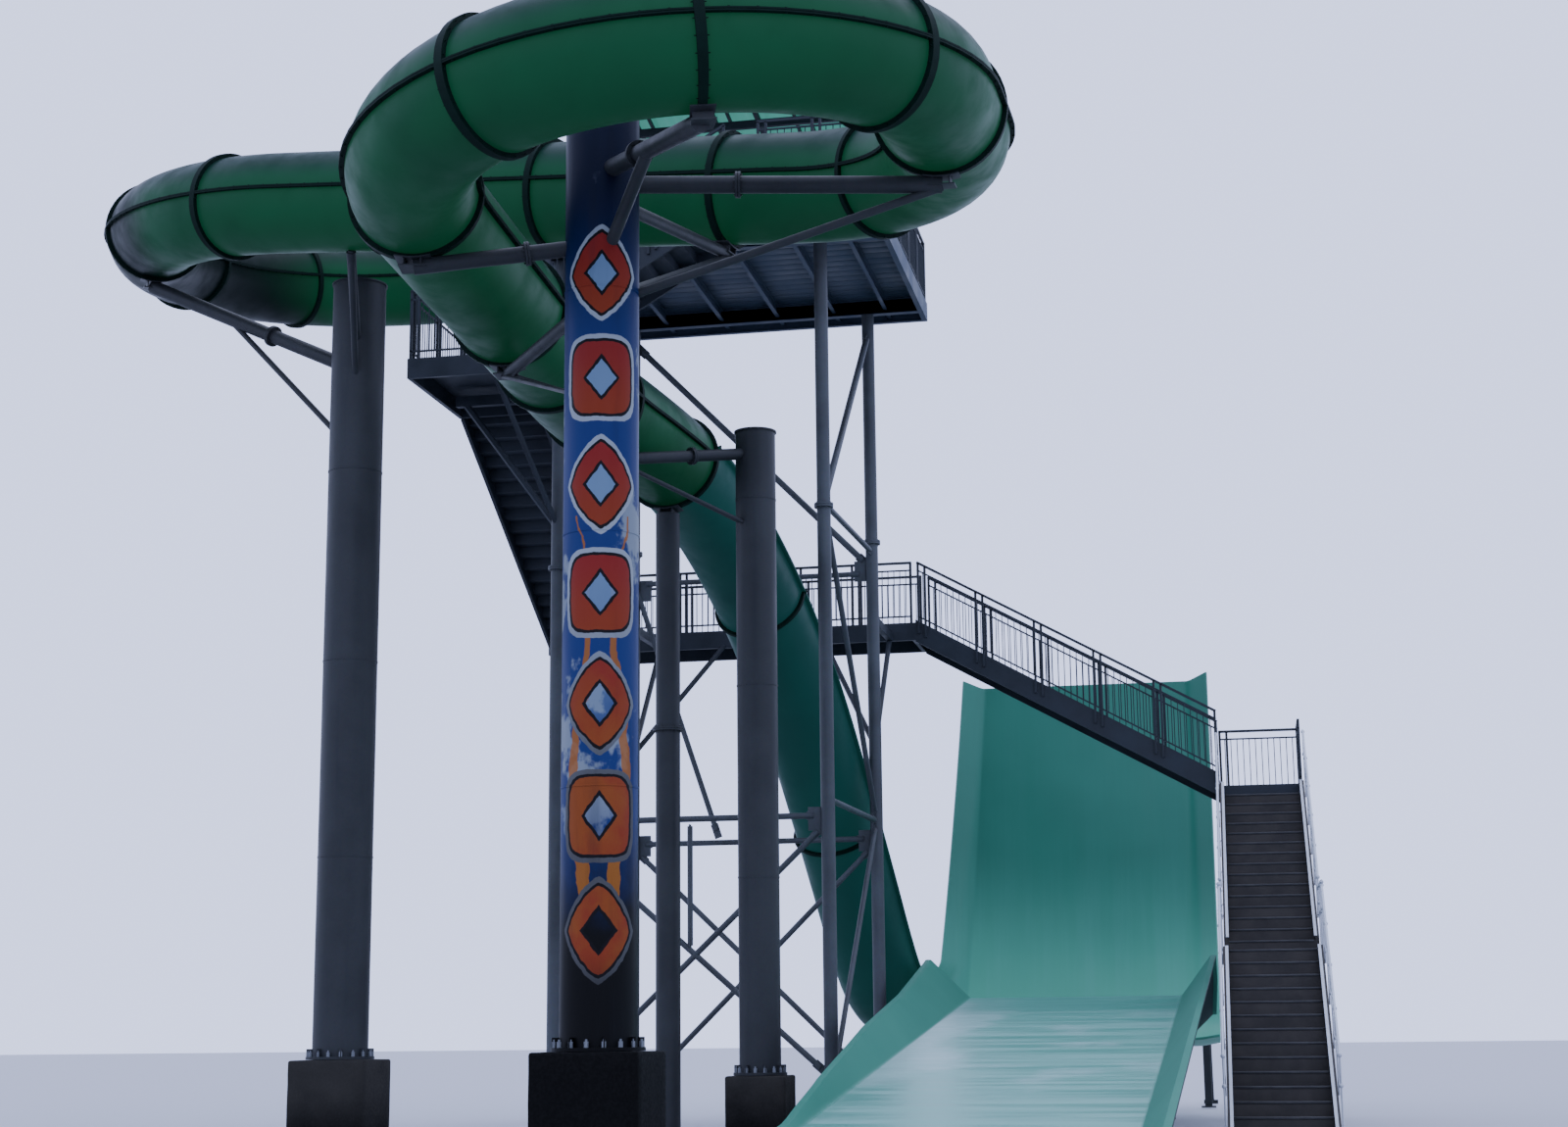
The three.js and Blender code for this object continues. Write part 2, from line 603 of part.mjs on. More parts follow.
{
  const { frontRight, backRight, frontLeft, backLeft } = LEGS;
  const side = (front, back, frontCollar, backCollar) => union([
    leg(front, frontCollar), leg(back, backCollar),
    strut(onLeg(front, 5350), onLeg(back, 5350), 50),
    strut(onLeg(front, 10300), onLeg(back, 10300), 50),
    strut(onLeg(front, 700), onLeg(back, 5350), 45),
    strut(onLeg(back, 5350), onLeg(front, 10300), 50),
    strut(onLeg(front, 10300), onLeg(back, 14500), 60),
  ]);
  addPart('tower_side_right', side(frontRight, backRight, 10250, 10480), GALVANISED);
  addPart('tower_side_left', side(frontLeft, backLeft, 9400, 10480), GALVANISED);

  const cutters = [frontRight, backRight, frontLeft, backLeft].map(legCutter);
  const front = union([
    strut(onLeg(frontLeft, FRONT_TIE), onLeg(frontRight, FRONT_TIE), 50),
    strut(onLeg(frontLeft, 600), onLeg(frontRight, FRONT_TIE - 100), 50),
    strut(onLeg(frontLeft, FRONT_TIE - 100), onLeg(frontRight, 900), 50),
    strut([-1850, 12200, FRONT_TIE], [-1850, 12200, 2900], 45),
    gusset(frontLeft, FRONT_TIE - 50), gusset(frontRight, FRONT_TIE - 50),
  ]);
  addPart('tower_bracing_front', cut(front, cutters), GALVANISED);
  const back = union([
    strut(onLeg(backLeft, 14600), onLeg(backRight, 9980), 60),
    strut(onLeg(backLeft, 9900), onLeg(backRight, 9900), 50),
    strut(onLeg(backLeft, 9950), [-2300, backLeft[1], LOW_TIE], 50),
    strut(onLeg(backLeft, LOW_TIE), onLeg(backRight, LOW_TIE), 50),
    strut(onLeg(backLeft, 500), onLeg(backRight, LOW_TIE - 70), 50),
    strut(onLeg(backLeft, LOW_TIE - 70), onLeg(backRight, 600), 50),
    gusset(backLeft, LOW_TIE - 30), gusset(backRight, LOW_TIE - 30),
    gusset(backLeft, 9760), gusset(backRight, 9950),
  ]);
  addPart('tower_bracing_back', cut(back, cutters), GALVANISED);
}

// Platform deck: a plate over edge channels and cross joists
{
  const { left, right, front, back, bayLeft, bayFront } = DECK;
  const outline = [
    [left, front], [bayLeft, front], [bayLeft, bayFront], [right, bayFront], [right, back], [left, back],
  ];
  const plate = solid(extrude(outline, 90)).translate([0, 0, DECK_TOP - 90]);
  const edge = 90;
  const rim = solid(extrude(outline, DECK_DEPTH - 80)).translate([0, 0, DECK_UNDERSIDE]);
  const hollow = union([
    box([left + edge, front + edge, 0], [right - edge, back - edge, DECK_TOP]),
    box([bayLeft + edge, bayFront + edge, 0], [right - edge, front + edge + 10, DECK_TOP]),
  ]);
  const joists = [-3320, -2240, -1160, -80, 900].map((x) => box(
    [x - 35, (x > bayLeft ? bayFront : front) + 20, DECK_UNDERSIDE + 90],
    [x + 35, back - 20, DECK_TOP - 20],
  ));
  const beams = [LEGS.frontLeft[1], LEGS.backLeft[1]].map((y) => box(
    [left + 20, y - 70, DECK_UNDERSIDE], [right - 20, y + 70, DECK_TOP - 20],
  ));
  addPart('platform_deck', union([plate, rim.subtract(hollow), ...joists, ...beams]), DARK_STEEL);
}

// A fence panel in one plane: posts with a top rail and a bottom rail.
// It starts at start, runs by run along the ground direction and climbs by rise.
function fence({ start, direction, run, rise = 0, foot = 40, height = RAIL_HEIGHT }) {
  const clear = 110;
  const bays = Math.max(1, Math.round((run - RAIL_BAR) / POST_PITCH));
  const spacing = (run - RAIL_BAR) / bays;
  const slab = (from, to, low, high) => solid(extrude([
    [from, low + rise * from / run], [to, low + rise * to / run],
    [to, high + rise * to / run], [from, high + rise * from / run],
  ], RAIL_BAR));
  const pieces = [slab(0, run, height - RAIL_BAR, height), slab(0, run, clear, clear + RAIL_BAR)];
  for (let i = 0; i <= bays; i += 1) {
    pieces.push(slab(i * spacing, i * spacing + RAIL_BAR, -foot, height - RAIL_BAR / 2));
  }
  const along = new THREE.Vector3(direction[0], direction[1], 0).normalize();
  const across = new THREE.Vector3().crossVectors(along, UP);
  const turn = new THREE.Matrix4().makeBasis(along, UP, across).setPosition(...start);
  return union(pieces).transform(turn.elements);
}

const X = [1, 0];
const Y = [0, 1];

// Rails of the platform, standing on the deck's edge
{
  const { left, right, front, back, bayLeft, bayFront } = DECK;
  const level = DECK_TOP + SEAT;
  const inset = 20;
  const rail = (name, start, direction, run) => {
    addPart(name, fence({ start: [...start, level], direction, run, foot: 0 }), DARK_STEEL);
  };
  const stairGap = 450;
  const corner = inset + RAIL_BAR;
  const apart = 5;
  const frontRun = right - bayLeft - stairGap - 2 * inset;
  const rightRun = back - bayFront - 2 * (corner + apart);
  rail('platform_rail_front', [bayLeft + stairGap, bayFront + corner], X, frontRun);
  rail('platform_rail_right', [right - corner, bayFront + corner + apart], Y, rightRun);
  rail('platform_rail_back', [left + inset, back - inset], X, right - left - 2 * inset);
  rail('platform_rail_left', [left + inset, front + inset], Y, 3200);
}

// Roof: posts, eave beams, rafters and purlins as one frame, and the sheets on top
{
  const { left, right, front, back, eave, ridge } = ROOF;
  const middle = (front + back) / 2;
  const overhang = 60;
  const slope = (ridge - eave) / (middle - front);
  const underside = (y) => ridge + PURLIN_DEPTH - slope * Math.abs(y - middle);
  const profile = (lift) => [[front - overhang, lift], [middle, lift], [back + overhang, lift]]
    .map(([y, above]) => [y, underside(y) + above]);
  const sheetOf = (low, high) => {
    const sheet = upright(extrude([...profile(low), ...profile(high).reverse()], right - left));
    sheet.translate(left, 0, 0);
    return solid(sheet);
  };
  const members = [];
  const postRows = [DECK.bayFront + 260, 12700, 15000];
  const columns = [left + 300, right - 1120];
  for (const x of columns) {
    for (const y of postRows.slice(x < DECK.bayLeft ? 1 : 0)) {
      members.push(box([x - 50, y - 50, DECK_TOP + SEAT], [x + 50, y + 50, eave]));
    }
    members.push(bar([x, front + 40, eave], [x, back - 40, eave], 90, 150));
  }
  for (const y of [front + 80, postRows[1], postRows[2], back - 80]) {
    members.push(bar([left + 20, y, eave], [right - 20, y, eave], 80, 150));
  }
  for (const x of [...columns, (columns[0] + columns[1]) / 2]) {
    members.push(bar([x, front + 60, eave + 30], [x, middle, ridge - 30], 70, 120));
    members.push(bar([x, middle, ridge - 30], [x, back - 60, eave + 30], 70, 120));
    members.push(box([x - 35, middle - 35, eave], [x + 35, middle + 35, ridge - 20]));
  }
  for (const share of [0.03, 0.5, 0.97]) {
    for (const edge of [front, back]) {
      const y = THREE.MathUtils.lerp(edge, middle, share);
      members.push(bar([left + 10, y, underside(y) - 50], [right - 10, y, underside(y) - 50], 60, 130));
    }
  }
  addPart('roof_frame', largest(cut(union(members), [sheetOf(-SEAT, 400)])), DARK_STEEL);
  addPart('roof_sheets', sheetOf(0, 25), ROOF_SHEET);
}

// One flight: folded treads and risers between two stringers, rising along +Y from the origin.
// Its last riser is the edge of the landing that it reaches, unless it has a landing of its own.
function flightBody({ risers, riser, tread, landing = 0, grounded = false }) {
  const flat = (risers - 1) * tread;
  const folds = landing > 0 ? risers : risers - 1;
  const end = landing > 0 ? flat + landing : flat - SEAT;
  const top = [];
  for (let i = 0; i < folds; i += 1) {
    top.push([i * tread, i * riser], [i * tread, (i + 1) * riser]);
  }
  const bottom = [[end, folds * riser - STEP_PLATE]];
  for (let i = folds - 1; i > 0; i -= 1) {
    const back = i * tread + STEP_PLATE;
    bottom.push([back, (i + 1) * riser - STEP_PLATE], [back, i * riser - STEP_PLATE]);
  }
  bottom.push([STEP_PLATE, riser - STEP_PLATE], [STEP_PLATE, 0]);
  const half = STAIR_WIDTH / 2;
  const steps = upright(extrude([...top, [end, folds * riser], ...bottom], STAIR_WIDTH + 10));
  steps.translate(-half - 5, 0, 0);

  const slope = riser / tread;
  const above = (y) => riser + STRINGER_NOSE + slope * y;
  const below = (y) => above(y) - STRINGER_DEPTH;
  const side = [[0, above(0)]];
  const slopeEnd = landing > 0 ? flat : end;
  if (landing > 0) side.push([flat, above(flat)]);
  side.push([end, above(slopeEnd)], [end, below(slopeEnd)]);
  if (landing > 0) side.push([flat, below(flat)]);
  if (grounded) side.push([-below(0) / slope, 0], [0, 0]);
  else side.push([0, below(0)]);
  const stringers = [-half - STRINGER, half].map((x) => {
    const plate = upright(extrude(side, STRINGER));
    plate.translate(x, 0, 0);
    return solid(plate);
  });
  return union([solid(steps), ...stringers]);
}

// Turns an outline drawn in run and height so that it faces along X
function upright(geometry) {
  const [run, across] = [new THREE.Vector3(0, 1, 0), new THREE.Vector3(1, 0, 0)];
  return geometry.applyMatrix4(new THREE.Matrix4().makeBasis(run, UP, across));
}

const HALF_WIDTH = STAIR_WIDTH / 2 + STRINGER;
const MID_LEVEL = FLIGHT_1.lower * RISER;
const LOWER_RUN = (FLIGHT_1.lower - 1) * TREAD;
const UPPER_RUN = (FLIGHT_1.upper - 1) * TREAD;
const UPPER_START = FLIGHT_1.y + LOWER_RUN + MID_LANDING;
const LANDING_1_LEVEL = MID_LEVEL + FLIGHT_1.upper * RISER;
const LANDING_1_Y = UPPER_START + UPPER_RUN;

// Flight 1 in two parts with a landing between them, carried there by two posts
{
  const { x, y, lower: lowerRisers, upper: upperRisers } = FLIGHT_1;
  const overlap = 5;
  const step = { riser: RISER, tread: TREAD };
  const lower = flightBody({ ...step, risers: lowerRisers, landing: MID_LANDING + overlap, grounded: true });
  const upper = flightBody({ ...step, risers: upperRisers });
  const postY = UPPER_START - 650;
  const posts = [-1, 1].map((side) => {
    const postX = x + side * (HALF_WIDTH - 50);
    return union([
      box([postX - 50, postY - 50, 0], [postX + 50, postY + 50, MID_LEVEL - 200]),
      box([postX - 110, postY - 110, 0], [postX + 110, postY + 110, 25]),
    ]);
  });
  const tie = box(
    [x - HALF_WIDTH + 50, postY - 50, MID_LEVEL - 400], [x + HALF_WIDTH - 50, postY + 50, MID_LEVEL - 280],
  );
  addPart('stair_1', union([
    lower.translate([x, y, 0]), upper.translate([x, UPPER_START, MID_LEVEL]), ...posts, tie,
  ]), GALVANISED);

  const slope = RISER / TREAD;
  [['left', -1], ['right', 1]].forEach(([name, side]) => {
    const railX = x + side * (HALF_WIDTH + SEAT) + (side < 0 ? -RAIL_BAR : 0);
    const panel = (startY, base, run, rise) => fence({
      start: [railX, startY, base], direction: Y, run, rise, foot: 180, height: LOW_RAIL_HEIGHT,
    });
    const rail = union([
      panel(y + 60, RISER, LOWER_RUN - 60, LOWER_RUN * slope - 36),
      panel(y + LOWER_RUN - 50, MID_LEVEL, MID_LANDING + 50, 0),
      panel(UPPER_START - 50, MID_LEVEL + RISER - 30, UPPER_RUN - 70, (UPPER_RUN - 120) * slope + 30),
    ]);
    addPart(`stair_1_rail_${name}`, rail, PALE_STEEL);
  });
}

// Landing plate with edge channels, joists and posts to the ground
function landing(minimum, maximum, level, posts, depth = 300) {
  const [[x0, y0], [x1, y1]] = [minimum, maximum];
  const plate = box([x0, y0, level - 60], [x1, y1, level]);
  const rim = box([x0, y0, level - depth], [x1, y1, level - 50])
    .subtract(box([x0 + 70, y0 + 70, level - depth - 10], [x1 - 70, y1 - 70, level]));
  const legs = posts.map(([px, py]) => union([
    box([px - 60, py - 60, 0], [px + 60, py + 60, level - 55]),
    box([px - 130, py - 130, 0], [px + 130, py + 130, 25]),
  ]));
  return union([plate, rim, ...legs]);
}

const LANDING_1 = {
  left: FLIGHT_1.x - HALF_WIDTH,
  right: FLIGHT_1.x + HALF_WIDTH,
  front: LANDING_1_Y,
  back: LANDING_1_Y + 1520,
};
{
  const { left, right, front, back } = LANDING_1;
  const posts = [left + 60, right - 60].flatMap((x) => [[x, front + 60], [x, back - 60]]);
  const body = landing([left, front], [right, back], LANDING_1_LEVEL, posts);
  const ties = [front + 60, back - 60].map((y) => union([
    strut([left + 60, y, 3000], [right - 60, y, 3000], 40, 6),
    strut([left + 60, y, 250], [right - 60, y, 3000], 35, 6),
    strut([right - 60, y, 3000], [left + 60, y, 5730], 35, 6),
  ]));
  addPart('landing_1', union([body, ...ties]), GALVANISED);
  const level = LANDING_1_LEVEL + SEAT;
  const rails = union([
    fence({ start: [left + 5, back - 20, level], direction: X, run: right - left - 25, foot: 0 }),
    fence({
      start: [right - 20 - RAIL_BAR, front + 60, level], direction: Y, run: back - front - 85, foot: 0,
    }),
  ]);
  addPart('landing_1_rail', rails, DARK_STEEL);
}

// Turns a flight that climbs along +Y so that it climbs along the heading, and puts it in place
function place(body, heading, position) {
  return body.rotate([0, 0, heading]).translate(position);
}

// Flight 2 climbs to the left from landing 1 to the bridge behind the tower
const FLIGHT_2_RISERS = 18;
const flight2Rise = (BRIDGE_LEVEL - LANDING_1_LEVEL) / FLIGHT_2_RISERS;
const flight2Start = LANDING_1.left - SEAT;
const flight2Tread = (flight2Start - BRIDGE.right - SEAT) / (FLIGHT_2_RISERS - 1);
const flight2Y = (BRIDGE.front + BRIDGE.back) / 2;
{
  const body = flightBody({ risers: FLIGHT_2_RISERS, riser: flight2Rise, tread: flight2Tread });
  const stair = place(body, 90, [flight2Start, flight2Y, LANDING_1_LEVEL]);
  addPart('stair_2', stair, DARK_STEEL);
  [['near', -1], ['far', 1]].forEach(([name, side]) => {
    const y = flight2Y + side * (HALF_WIDTH + SEAT) + (side < 0 ? 0 : RAIL_BAR);
    const run = flight2Start - BRIDGE.right - 60;
    const rise = -run * flight2Rise / flight2Tread;
    const start = [BRIDGE.right + 50, y, BRIDGE_LEVEL - 10];
    addPart(`stair_2_rail_${name}`, fence({ start, direction: X, run, rise, foot: 200 }), DARK_STEEL);
  });
}

// Bridge behind the tower, on posts at its left end and struts from the tower's back legs
{
  const { left, right, front, back } = BRIDGE;
  const posts = [[left + 70, front + 60], [left + 70, back - 60]];
  const body = landing([left, front - 60], [right - SEAT, back + 60], BRIDGE_LEVEL, posts, 340);
  const seat = BRIDGE_LEVEL - 250;
  const carriers = [[LEGS.backRight, -1300], [LEGS.backLeft, 1300]].flatMap(([[x, y], aside]) => [
    strut([x, y, 6700], [x, front + 20, seat], 50),
    strut([x, y, 6700], [x + aside, front + 20, seat], 50),
    bar([x, y, seat], [x, front, seat], 110, 160),
  ]);
  const ties = union([
    strut([left + 70, front + 60, 4600], [left + 70, back - 60, 4600], 40, 6),
    strut([left + 70, front + 60, 300], [left + 70, back - 60, 4600], 35, 6),
    strut([left + 70, back - 60, 4600], [left + 70, front + 60, 8950], 35, 6),
  ]);
  const cutters = [LEGS.backRight, LEGS.backLeft].map(legCutter);
  addPart('bridge', largest(cut(union([body, ...carriers, ties]), cutters)), DARK_STEEL);
  const level = BRIDGE_LEVEL + SEAT;
  addPart('bridge_rail_near', fence({
    start: [left + 1500, front - 40 + RAIL_BAR, level], direction: X, run: right - left - 1560, foot: 0,
  }), DARK_STEEL);
  const turned = union([
    fence({ start: [left + 20, back + 40, level], direction: X, run: right - left - 80, foot: 0 }),
    fence({ start: [left + 20, front + 20, level], direction: Y, run: back - front + 20, foot: 0 }),
  ]);
  addPart('bridge_rail_far', turned, DARK_STEEL);
}

// Flight 3 comes back towards the front to the top landing, left of the tower
const FLIGHT_3_RISERS = 19;
const FLIGHT_3_X = BRIDGE.left + HALF_WIDTH;
const flight3Rise = (TOP_LANDING.level - BRIDGE_LEVEL) / FLIGHT_3_RISERS;
const flight3Start = BRIDGE.front - 60 - SEAT;
const flight3Tread = (flight3Start - TOP_LANDING.back - SEAT) / (FLIGHT_3_RISERS - 1);
{
  const body = flightBody({ risers: FLIGHT_3_RISERS, riser: flight3Rise, tread: flight3Tread });
  const stair = place(body, 180, [FLIGHT_3_X, flight3Start, BRIDGE_LEVEL]);
  addPart('stair_3', stair, DARK_STEEL);
  [['left', -1], ['right', 1]].forEach(([name, side]) => {
    const x = FLIGHT_3_X + side * (HALF_WIDTH + SEAT) + (side < 0 ? -RAIL_BAR : 0);
    const run = flight3Start - TOP_LANDING.back - 120;
    const rise = -run * flight3Rise / flight3Tread;
    const start = [x, TOP_LANDING.back + 60, TOP_LANDING.level - 10];
    addPart(`stair_3_rail_${name}`, fence({ start, direction: Y, run, rise, foot: 200 }), DARK_STEEL);
  });
}

// Top landing on knee braces from the tower's front left leg, with its rail on two sides
{
  const { left, right, front, back, level } = TOP_LANDING;
  const [lx, ly] = LEGS.frontLeft;
  const plate = landing([left - 20, front], [right, back], level, [], 340);
  const carry = union([
    bar([left + 200, ly, level - 270], [lx, ly, level - 270], 120, 180),
    strut([lx, ly, level - 2600], [left + 350, ly, level - 300], 60),
    strut([lx, ly, level - 2600], [right - 60, front + 120, level - 260], 50),
  ]);
  addPart('landing_3', largest(cut(union([plate, carry]), [legCutter(LEGS.frontLeft)])), DARK_STEEL);
  const base = level + SEAT;
  const rails = union([
    fence({ start: [left, front + 20 + RAIL_BAR, base], direction: X, run: right - left - 60, foot: 0 }),
    fence({ start: [left, front + 20, base], direction: Y, run: back - front - 80, foot: 0 }),
  ]);
  addPart('landing_3_rail', rails, DARK_STEEL);
}

// Flight 4 climbs to the right along the front of the platform
const FLIGHT_4_RISERS = 14;
const FLIGHT_4_Y = TOP_LANDING.front + HALF_WIDTH - 60;
const flight4Rise = (DECK_TOP - TOP_LANDING.level) / FLIGHT_4_RISERS;
const flight4Tread = (DECK.bayLeft - TOP_LANDING.right - 2 * SEAT) / (FLIGHT_4_RISERS - 1);
{
  const body = flightBody({ risers: FLIGHT_4_RISERS, riser: flight4Rise, tread: flight4Tread });
  const room = box(
    [DECK.left - 400, DECK.front - SEAT, DECK_UNDERSIDE - 1], [DECK.bayLeft, DECK.back, DECK_TOP + 400],
  );
  const stair = place(body, -90, [TOP_LANDING.right + SEAT, FLIGHT_4_Y, TOP_LANDING.level]);
  addPart('stair_4', largest(cut(stair, [room])), DARK_STEEL);
  const run = DECK.bayLeft - TOP_LANDING.right - 120;
  const rise = run * flight4Rise / flight4Tread;
  const start = [TOP_LANDING.right + 60, FLIGHT_4_Y - HALF_WIDTH - SEAT, TOP_LANDING.level + 190];
  addPart('stair_4_rail_near', fence({ start, direction: X, run, rise, foot: 200 }), DARK_STEEL);
}

// The curved wall: a ribbon that starts as a dip, takes in the chute at its left, and climbs
{
  const spline = new THREE.SplineCurve(WALL_PROFILE.map(([y, z]) => new THREE.Vector2(y, z)));
  const steps = 14;
  const section = [];
  const rings = Array.from({ length: steps + 1 }, (_, i) => {
    const t = i / steps;
    const middle = spline.getPointAt(t);
    const tangent = spline.getTangentAt(t);
    const normal = i === 0 ? new THREE.Vector2(0, 1) : new THREE.Vector2(-tangent.y, tangent.x);
    const narrow = THREE.MathUtils.smoothstep(t, 0.12, 0.32);
    const foot = THREE.MathUtils.lerp(WALL.entryLeft, WALL.foot, narrow);
    const left = foot + (WALL.left - WALL.foot) * THREE.MathUtils.clamp((t - 0.3) / 0.7, 0, 1);
    const lift = THREE.MathUtils.lerp(60, WALL.foldRise, narrow);
    const horn = WALL.horn * THREE.MathUtils.smoothstep(t, 0.85, 1);
    const outline = [
      [left, lift], [left + WALL.fold, 0], [WALL.right - WALL.fold, 0], [WALL.right, lift],
      [WALL.right, lift - SHELL], [WALL.right - WALL.fold, -SHELL],
      [left + WALL.fold, -SHELL], [left, lift - SHELL],
    ];
    if (i === 0) section.push(...outline.map(([x, rise]) => new THREE.Vector2(x, rise)));
    return outline.map(([x, rise]) => {
      const edge = x < left + WALL.fold || x > WALL.right - WALL.fold ? horn : 0;
      return new THREE.Vector3(x, middle.x + SEAT + rise * normal.x, middle.y + rise * normal.y + edge);
    });
  });
  const ribbon = loft(rings, section);

  // Room of the chute's last metres, and the seat of its end: a ring behind its flange on a web
  const end = CHUTE_JOINTS[CHUTE_JOINTS.length - 1];
  const reach = FLANGE_OUTER + 10;
  const slab = (from, to, half, low, high) => {
    const corners = [[-half, high], [-half, low], [half, low], [half, high]];
    const outline = corners.map(([x, y]) => new THREE.Vector2(x, y));
    return loft([onLine(from, outline), onLine(to, outline)], outline);
  };
  const room = slab(end - 2450, end + SEAT / 2, reach, -reach, 900);
  const ringEnd = end + FLANGE_LENGTH;
  const seat = troughOutline(FLANGE_OUTER - TUBE_OUTER);
  const ring = loft([onLine(end + SEAT / 2, seat), onLine(ringEnd, seat)], seat);
  const bore = new THREE.CylinderGeometry(TUBE_OUTER - TUBE_WALL, TUBE_OUTER - TUBE_WALL, 600, TUBE_SIDES);
  bore.rotateX(Math.PI / 2);
  const { point, left: aside, up, forward } = line.frame(end);
  bore.applyMatrix4(new THREE.Matrix4().makeBasis(aside, up, forward).setPosition(point));
  const web = slab(end + SEAT / 2, ringEnd, 400, -980, -640);
  addPart('wall', largest(ribbon.subtract(room).add(ring).add(web.subtract(solid(bore)))), TEAL_FIBRE);

  // Steel frame behind the wall: posts, raking legs, level rails and short ties to the shell
  const { y, top, post, foot, levels } = WALL_FRAME;
  const [firstPost, lastPost] = [WALL.left + 350, WALL.right - 350];
  const members = [];
  for (const x of [firstPost, (firstPost + lastPost) / 2, lastPost]) {
    members.push(box([x - post / 2, y - post / 2, 0], [x + post / 2, y + post / 2, top]));
    members.push(box([x - foot / 2, y - foot / 2, 0], [x + foot / 2, y + foot / 2, 30]));
    members.push(strut([x, y + 2600, 60], [x, y, 6400], 75));
    members.push(box([x - foot / 2, y + 2450, 0], [x + foot / 2, y + 2750, 80]));
    for (const level of levels) {
      members.push(bar([x, y, level], [x, 22000, level], 90, 120));
    }
  }
  for (const level of levels) {
    members.push(bar([WALL.left + 200, y, level], [WALL.right - 200, y, level], 100, 140));
  }
  members.push(strut([firstPost, y, 300], [lastPost, y, levels[1]], 45));
  members.push(strut([lastPost, y, levels[1] + 200], [firstPost, y, levels[3] - 100], 45));
  const inFront = loft(rings.map((corners) => {
    const face = corners.slice(0, 4);
    const away = new THREE.Vector3().subVectors(corners[6], corners[1]).normalize();
    const back = away.clone().multiplyScalar(SHELL + SEAT);
    const ahead = away.clone().multiplyScalar(-3500);
    return [
      ...face.map((corner) => corner.clone().add(ahead)),
      ...face.reverse().map((corner) => corner.clone().add(back)),
    ];
  }), section);
  addPart('wall_frame', largest(union(members).subtract(inFront)), GALVANISED);
}

// Run-out: a wide channel over a crest, its leaning walls getting lower towards the open end
{
  const { floorLeft, floorRight, crestY, crest, end, fall, far, lip } = RUN_OUT;
  const shoulder = crestY - 500;
  const floorAt = (y) => {
    if (y <= shoulder) return crest - 20 - fall * (shoulder - y);
    const beyond = (y - shoulder) / (far - shoulder);
    const hump = 40 * Math.sin(Math.PI * Math.min(1, beyond * 2.2));
    return crest - 20 + hump - 740 * THREE.MathUtils.smoothstep(beyond, 0.2, 1);
  };
  // Height of the left rim over the floor
  const leftRim = (y) => {
    const next = LEFT_RIM.findIndex(([at]) => at > y);
    if (next === 0) return LEFT_RIM[0][1];
    if (next < 0) return LEFT_RIM[LEFT_RIM.length - 1][1];
    const [[from, low], [to, high]] = [LEFT_RIM[next - 1], LEFT_RIM[next]];
    return THREE.MathUtils.mapLinear(y, from, to, low, high);
  };
  const stationsY = [
    far, 20550, 20200, 19900, 19600, 19300, 19000, 17800, 16400,
    14000, 11500, 9000, 6500, 3900, 2500, 1700, end,
  ];
  const rings = stationsY.map((y) => {
    const t = THREE.MathUtils.clamp((crestY - y) / (crestY - end), 0, 1);
    const entering = THREE.MathUtils.smoothstep(y, 19900, 20900);
    const left = floorLeft - Math.max(60, 740 * (1 - t / 0.82)) * (1 - 0.55 * entering);
    const right = floorRight + THREE.MathUtils.lerp(560, 330, t) * (1 - 0.1 * entering);
    const floor = floorAt(y);
    const rightRim = floor + THREE.MathUtils.lerp(730, 380, t) * (1 - 0.35 * entering);
    const rim = floor + leftRim(y) * (1 - 0.35 * entering);
    const outline = [
      [left, rim], [floorLeft, floor], [floorRight, floor], [right, rightRim],
      [right + lip, rightRim], [right + lip, rightRim - 60], [right + 40, rightRim - 60],
      [floorRight + 40, floor - SHELL], [floorLeft - 40, floor - SHELL], [left - 40, rim - 60],
      [left - lip, rim - 60], [left - lip, rim],
    ];
    return outline.map(([x, z]) => new THREE.Vector3(x, y, z));
  });
  const cap = rings[0].map((point) => new THREE.Vector2(point.x, point.z));
  addPart('run_out', loft(rings, cap), AQUA_FIBRE);

  // Two long beams under the floor on pairs of posts
  const members = [];
  const low = (y) => floorAt(y) - SHELL - SEAT - 60;
  for (const x of [floorLeft + 500, floorRight - 500]) {
    members.push(bar([x, shoulder, low(shoulder)], [x, 800, low(800)], 100, 119));
  }
  for (const y of RUN_OUT_POSTS) {
    members.push(box([floorLeft + 150, y - 50, low(y) - 170], [floorRight - 150, y + 50, low(y) - 30]));
    for (const x of [floorLeft + 250, floorRight - 250]) {
      members.push(box([x - 60, y - 60, 0], [x + 60, y + 60, low(y) - 60]));
    }
  }
  addPart('run_out_frame', largest(union(members)), GALVANISED);
}

export default tower;
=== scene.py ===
import json
import math

import bmesh
import bpy
from mathutils import Matrix, Vector


